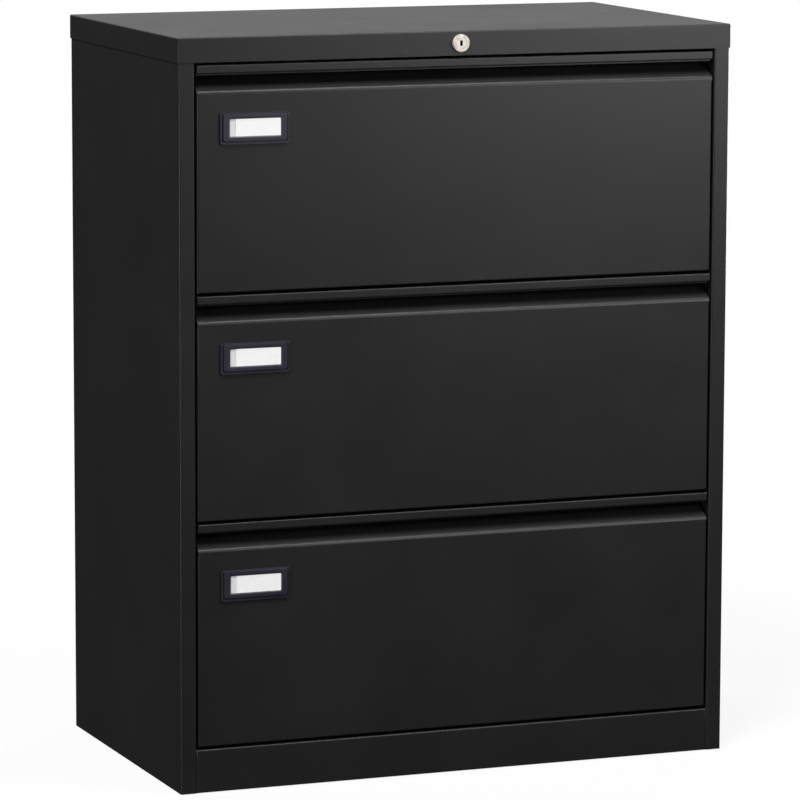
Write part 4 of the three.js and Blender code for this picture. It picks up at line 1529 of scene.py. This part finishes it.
@dataclass
class LabelHolder:
    """Stepped plastic frame on a drawer's face, with a folded card round a pad in its window.

    Attributes:
        number: The drawer's number.
        step: Width of the outer step at the sides.
        brow: Width of the step at the top.
        foot: Width of the step at the bottom.
        corner: Outer corner radius.
        window_width: Width of the window.
        window_height: Height of the window.
        window_drop: Window below the frame's upper edge.
        window_corner: Corner radius of the window.
        window_depth: Frame's front to the card's pocket.
        flange: Thickness of the outer step.
        groove: Width and depth of the groove round the raised part.
        draft: How much narrower the groove is at its floor.
        step_edge: Inset and depth of each line of the outer step's rounded edge.
        ring_edge: The same on the raised part.
        bevel: Margin, corner radius and depth of each line of the window's bevel.
        pocket: How far the card's pocket runs past the window.
        bare: How much of the pad the card's front leaf leaves bare in the window.
    """

    number: int
    step: float = 3.2
    brow: float = 0.9
    foot: float = 4.4
    corner: float = 3.0
    window_width: float = 71.7
    window_height: float = 23.3
    window_drop: float = 7.5
    window_corner: float = 1.0
    window_depth: float = 1.4
    flange: float = 3.2
    groove: float = 1.2
    draft: float = 0.1
    step_edge: tuple[Point, ...] = ((0.0, 0.5), (0.15, 0.15), (0.5, 0.0))
    ring_edge: tuple[Point, ...] = ((0.3, 0.6), (0.5, 0.2), (0.9, 0.0))
    bevel: tuple[Place, ...] = (
        (1.9, 1.8, 0.0), (1.5, 1.6, 0.15), (0.3, 1.1, 0.9), (0.0, 1.0, 1.2)
    )
    pocket: float = 3.2
    bare: float = 8.4

    def build(self) -> None:
        """Makes and dresses the frame, the card and its pad."""
        body = f"drawer_{self.number}"
        low, high = node_box(f"{body}_label_frame")
        outer = ((low.x, high.x), (low.z, high.z))
        left = (low.x + high.x - self.window_width) / 2
        top = high.z - self.window_drop
        window = ((left, left + self.window_width), (top - self.window_height, top))
        ring = (grown(outer[0], -self.step), (low.z + self.foot, high.z - self.brow))
        gutter = (grown(ring[0], self.groove), (ring[1][0] - self.groove, ring[1][1] + SEAT))
        front, face, back = low.y, -self.flange, high.y
        floor, pocket = face + self.groove, front + self.window_depth
        lines = [
            (outer, 0.0, self.corner, back),
            *((outer, -inset, self.corner, face + depth) for inset, depth in self.step_edge),
            (gutter, 0.0, self.corner, face),
            (gutter, -self.draft, self.corner, floor),
            (ring, 0.0, self.corner, floor),
            *((ring, -inset, self.corner, front + depth) for inset, depth in self.ring_edge),
            *((window, margin, radius, front + depth) for margin, radius, depth in self.bevel),
            (window, 0.0, self.window_corner, pocket),
            (window, self.pocket, self.window_corner, pocket),
            (window, self.pocket, self.window_corner, back),
        ]
        bezel = Solid().stack([self._loop(*line) for line in lines], Axis.Y, ring=True)
        dress(bezel.piece(f"{body}_label_bezel"), BLACK_PLASTIC, body, f"{body}_label_frame")
        self.insert(body, window[0][0] + self.bare, pocket + SEAT)

    def insert(self, body: str, edge: float, front: float) -> None:
        """The card, folded at its right end, and the pad between its leaves.

        Args:
            body: The drawer's body.
            edge: Where the front leaf ends.
            front: The front leaf's face.
        """
        low, high = node_box(f"{body}_label_card")
        sheet = high.y - low.y
        leaves = [(low.x, high.y), (high.x, high.y), (high.x, front), (edge, front)]
        card = FoldedSheet(leaves, sheet, sheet).along(Axis.Z, low.z, high.z)
        dress(card.piece(f"{body}_label_paper"), CARD, body, f"{body}_label_card")
        limits = ((low.x, high.x - 2 * sheet - SEAT), (low.z, high.z))
        near, far = front + sheet + SEAT / 2, low.y - SEAT / 2
        lines = ((-SEAT, near), (0.0, near + SEAT), (0.0, far))
        loops = [self._loop(limits, margin, self.corner / 2, depth) for margin, depth in lines]
        dress(Solid().stack(loops, Axis.Y).piece(f"{body}_label_pad"), PAD, body)

    @staticmethod
    def _loop(
        limits: tuple[Point, Point], margin: float, radius: float, depth: float
    ) -> tuple[list[Point], float]:
        """A rounded rectangle grown by a margin, and its depth.

        Args:
            limits: The rectangle's limits each way.
            margin: How far it is grown.
            radius: Its corner radius.
            depth: Its place from front to back.

        Returns:
            Its points and its depth.
        """
        return rounded_loop(grown(limits[0], margin), grown(limits[1], margin), radius), depth


@dataclass
class Lock:
    """Bright lock housing with a keyed plug.

    Attributes:
        rim: Face radius.
        barrel: Radius of the threaded body.
        bore: Radius of the plug's bore.
        plug: Plug radius.
        rim_edge: Inset and depth of each line of the rim's rounded edge.
        fine_edge: The same at the bore's mouth, and the other way round on the plug.
        keyway: Width and height of the keyway.
        keyway_depth: Depth of the keyway.
        liner: Wall of the near-black liner in the keyway, which is painted shade for the keyhole's
            dark inside.
        tail: Side of the square tail.
    """

    rim: float = 12.0
    barrel: float = 9.5
    bore: float = 7.3
    plug: float = 7.0
    rim_edge: tuple[Point, ...] = ((0.9, 0.0), (0.5, 0.08), (0.15, 0.35), (0.0, 0.8))
    fine_edge: tuple[Point, ...] = ((0.0, 0.25), (0.05, 0.07), (0.2, 0.0))
    keyway: Point = (3.8, 7.6)
    keyway_depth: float = 12.0
    liner: float = 0.5
    tail: float = 7.0

    def build(self) -> None:
        """Makes and dresses the housing, the plug and the painted-shade liner in the keyway."""
        low, high = node_box("lock_housing")
        centre = (0.0, (low.z + high.z) / 2)
        seat = node_box("top_cap")[0].y - SEAT
        profile = [
            *((self.bore + inset, low.y + depth) for inset, depth in self.fine_edge),
            *((self.rim - inset, low.y + depth) for inset, depth in self.rim_edge),
            (self.rim, seat),
            (self.barrel, seat),
            (self.barrel, high.y),
            (self.bore, high.y),
        ]
        housing = Solid().turned(profile, Axis.Y, centre, ring=True)
        dress(housing.piece("lock_face_housing"), NICKEL, "cabinet", "lock_housing")
        self.keyed_plug(centre, high.y)

    def keyed_plug(self, centre: Point, tail_front: float) -> None:
        """The plug with its tail and keyway, and the near-black liner that paints the keyway's
        shade.

        Args:
            centre: Where the lock's axis is.
            tail_front: Where the plug ends and its tail goes on.
        """
        low, high = node_box("lock_plug")
        edge = [(self.plug - inset, low.y + depth) for inset, depth in reversed(self.fine_edge)]
        profile = [*edge, (self.plug, tail_front)]
        plug = Solid().turned(profile, Axis.Y, centre, ring=False)
        square = [grown((place, place), self.tail / 2) for place in centre]
        plug.join(Solid().block(square[0], (tail_front - SHEET, high.y), square[1]))
        slot = [grown((at, at), size / 2) for at, size in zip(centre, self.keyway)]
        end = low.y + self.keyway_depth
        plug.cut(Solid().block(slot[0], (low.y - CUT_MARGIN, end), slot[1]))
        dress(plug.piece("lock_keyed_plug"), PLUG_METAL, "lock_plug", "lock_plug")
        # A near-black liner on the keyway's walls: painted shade for the keyhole's dark inside.
        mouth, back, inside = low.y + SEAT, end - SEAT, SEAT + self.liner
        walls = ((SEAT, back), (SEAT, mouth), (inside, mouth), (inside, back - SEAT))
        loops = [
            (rounded_loop(grown(slot[0], -inset), grown(slot[1], -inset), self.liner), depth)
            for inset, depth in walls
        ]
        liner = Solid().stack(loops, Axis.Y)
        dress(liner.piece("lock_keyway_shade_liner"), KEYWAY_PAINTED_SHADE, "lock_plug")


@dataclass(frozen=True)
class Softbox:
    """A soft lamp.

    Attributes:
        name: The lamp's name.
        place: Its centre in the model's frame.
        aim: The point that it faces.
        size: Its width and height in metres.
        power: Its power in watts.
        spread: Angle that its grid lets out, in degrees.
    """

    name: str
    place: Place
    aim: Place
    size: Point
    power: float
    spread: float = 120.0

    def build(self) -> None:
        """Hangs the lamp, unseen by the camera."""
        data = bpy.data.lights.new(self.name, "AREA")
        data.shape = "RECTANGLE"
        data.size, data.size_y = self.size
        data.energy = self.power
        data.spread = math.radians(self.spread)
        made = linked(self.name, data)
        made.location = self.place
        way = Vector(self.aim) - Vector(self.place)
        made.rotation_euler = way.to_track_quat("-Z", "Y").to_euler()
        made.visible_camera = False


SOFTBOXES = (
    Softbox("key_softbox", (-4.2, -4.8, 8.4), (0.0, -0.23, 0.6), (2.4, 2.4), 372.0),
    Softbox("overhead_softbox", (0.82, -1.1, 3.4), (0.1, -0.23, 0.7), (0.9, 0.5), 14.5),
    Softbox("right_softbox", (1.3, -2.2, 1.38), (0.3, -0.2, 0.95), (0.8, 0.6), 9.8),
    Softbox("left_softbox", (-3.5, -2.0, 0.6), (-0.4, -0.23, 0.25), (0.4, 1.2), 5.0, 60.0),
    Softbox("rear_softbox", (-2.1, 2.54, 3.4), (0.0, 0.23, 0.5), (1.0, 0.8), 26.0),
    Softbox("low_rear_softbox", (2.2, 2.6, 0.6), (0.1, 0.1, 0.5), (1.2, 0.7), 45.0),
)


@dataclass
class Studio:
    """White studio: floor, soft lamps, bright surround and the photograph's camera.

    Attributes:
        place: Camera position in the model's frame.
        yaw: Camera turned right of straight ahead, in degrees.
        pitch: Camera tilted down.
        roll: Camera's right side raised.
        lens: Focal length on the sensor's width.
        sensor: Sensor width.
        clip_end: How far the camera sees, in metres.
        floor_size: Side of the floor in metres.
        floor_seen: Floor's colour to the camera.
        floor_bounce: Floor's colour to other rays.
        floor_mirrored: Floor's brightness in reflections, before the object and behind it.
        behind: Direction from the object in which the floor turns brighter in reflections.
        behind_from: Where it starts to turn brighter that way, and where it has done so.
        clear_side: The same across the object, so that its left side keeps the darker floor.
        floor_white: How much of the floor seen near the object is plain white.
        shadow_reach: Where that share starts to rise, and where all of it is white.
        ambient: Share of the surround that lights the object.
        surround: Surround's brightness in reflections on its bright side.
        dim: Its brightness on the other side.
        bright_side: Direction of the bright side.
        bright_from: How far towards it the surround starts to turn bright, and has done so.
        sky: The surround's brightness overhead.
        sky_from: Height at which it starts to turn so bright, and has done so.
    """

    place: Place = (-2.4502, -6.2177, 1.4936)
    yaw: float = 21.553
    pitch: float = 8.598
    roll: float = 0.184
    lens: float = 217.31
    sensor: float = 36.0
    clip_end: float = 200.0
    floor_size: float = 60.0
    floor_seen: float = 0.8
    floor_bounce: float = 0.24
    floor_mirrored: Point = (0.045, 0.32)
    behind: Place = (0.8, 0.6, 0.0)
    behind_from: Point = (0.7, 1.3)
    clear_side: Point = (-0.5, 0.0)
    floor_white: float = 0.86
    shadow_reach: Point = (0.7, 2.2)
    ambient: float = 0.12
    surround: float = 0.63
    dim: float = 0.05
    bright_side: Place = (0.75, 0.35, 0.3)
    bright_from: Point = (0.1, 0.6)
    sky: float = 0.7
    sky_from: Point = (0.6, 0.9)

    def build(self) -> None:
        """Makes the camera, the surround, the floor and the lamps."""
        bpy.context.scene.view_settings.view_transform = "Standard"
        self.camera()
        self.world()
        self.floor()
        for lamp in SOFTBOXES:
            lamp.build()

    def camera(self) -> None:
        """The camera at the photograph's viewing angle."""
        yaw, pitch, roll = (math.radians(angle) for angle in (self.yaw, self.pitch, self.roll))
        ahead = Vector((math.sin(yaw), math.cos(yaw), 0.0))
        across = Vector((math.cos(yaw), -math.sin(yaw), 0.0))
        up = Vector((0.0, 0.0, 1.0))
        look = ahead * math.cos(pitch) - up * math.sin(pitch)
        rise = up * math.cos(pitch) + ahead * math.sin(pitch)
        right = across * math.cos(roll) + rise * math.sin(roll)
        top = rise * math.cos(roll) - across * math.sin(roll)
        data = bpy.data.cameras.new("photo_camera")
        data.lens = self.lens
        data.sensor_width = self.sensor
        data.clip_end = self.clip_end
        made = linked("photo_camera", data)
        turn = Matrix((right, top, -look)).transposed().to_4x4()
        made.matrix_world = Matrix.Translation(self.place) @ turn
        bpy.context.scene.camera = made

    @staticmethod
    def rays(graph: Graph) -> tuple[Socket, Socket]:
        """Tells the rays apart.

        Args:
            graph: The nodes that ask.

        Returns:
            Whether a ray comes from the camera, and whether from a mirror or through glass.
        """
        rays = graph.node("ShaderNodeLightPath").outputs
        mirrored = graph.math("MAXIMUM", rays["Is Glossy Ray"], rays["Is Transmission Ray"])
        return rays["Is Camera Ray"], mirrored

    def world(self) -> None:
        """A surround that is white to the camera, bright in reflections, and softer as light."""
        made = bpy.data.worlds.new("white_studio")
        bpy.context.scene.world = made
        graph = Graph.of(made)
        seen, mirrored = self.rays(graph)
        towards = graph.node("ShaderNodeTexCoord").outputs["Generated"]
        slope = graph.dot(towards, self.bright_side)
        side = graph.spread(slope, *self.bright_from, self.dim, self.surround)
        height = graph.node("ShaderNodeSeparateXYZ", {0: towards}).outputs["Z"]
        studio = graph.math("MAXIMUM", side, graph.spread(height, *self.sky_from, 0.0, self.sky))
        light = graph.spread(mirrored, 0.0, 1.0, self.ambient, 1.0)
        strength = graph.math("MAXIMUM", graph.math("MULTIPLY", light, studio), seen)
        back = graph.out("ShaderNodeBackground", {"Color": grey(1.0), "Strength": strength})
        graph.node("ShaderNodeOutputWorld", {"Surface": back})

    def floor(self) -> None:
        """A pale floor that keeps the object's shadow."""
        half = self.floor_size / 2
        corners = [(-half, -half, 0), (half, -half, 0), (half, half, 0), (-half, half, 0)]
        mesh = bpy.data.meshes.new("studio_floor")
        mesh.from_pydata(corners, [], [(0, 1, 2, 3)])
        made = linked("studio_floor", mesh)
        paint = bpy.data.materials.new("studio_floor")
        graph = Graph.of(paint)
        seen, mirrored = self.rays(graph)
        colour = graph.blend(seen, grey(self.floor_bounce), grey(self.floor_seen))
        matt = graph.out("ShaderNodeBsdfDiffuse", {"Color": colour})
        place = graph.node("ShaderNodeTexCoord").outputs["Object"]
        across = graph.node("ShaderNodeSeparateXYZ", {0: place}).outputs["X"]
        clear = graph.spread(across, *self.clear_side, 0.0, 1.0)
        along = graph.spread(graph.dot(place, self.behind), *self.behind_from, 0.0, 1.0)
        behind = graph.math("MULTIPLY", along, clear)
        dim = graph.spread(behind, 0.0, 1.0, *self.floor_mirrored)
        strength = graph.out("ShaderNodeMix", {0: mirrored, 2: 1.0, 3: dim})
        glow = graph.out("ShaderNodeEmission", {"Color": grey(1.0), "Strength": strength})
        length = graph.node("ShaderNodeVectorMath", {0: place}, operation="LENGTH")
        reach = (*self.shadow_reach, self.floor_white, 1.0)
        white = graph.math("MULTIPLY", seen, graph.spread(length.outputs["Value"], *reach))
        share = graph.math("MAXIMUM", mirrored, white)
        mixed = graph.out("ShaderNodeMixShader", {0: share, 1: matt, 2: glow})
        graph.node("ShaderNodeOutputMaterial", {"Surface": mixed})
        mesh.materials.append(paint)


def paint_frame() -> None:
    """Gives every CAD node the material of its slot in the record."""
    finishes = {finish.slot: finish for finish in FINISHES}
    for row in frame["record"]["subparts"]:
        node = frame["nodes"][row["node"]]
        node.data.materials.clear()
        node.data.materials.append(finishes[row["material_slot"]].material())


def main() -> None:
    """Builds the cabinet's looks and the studio."""
    logging.basicConfig(level=logging.INFO, format="%(message)s")
    Studio().build()
    paint_frame()
    Carcass().build()
    for number in DRAWERS:
        Drawer(number).build()
    Lock().build()


if __name__ == "__main__":
    main()
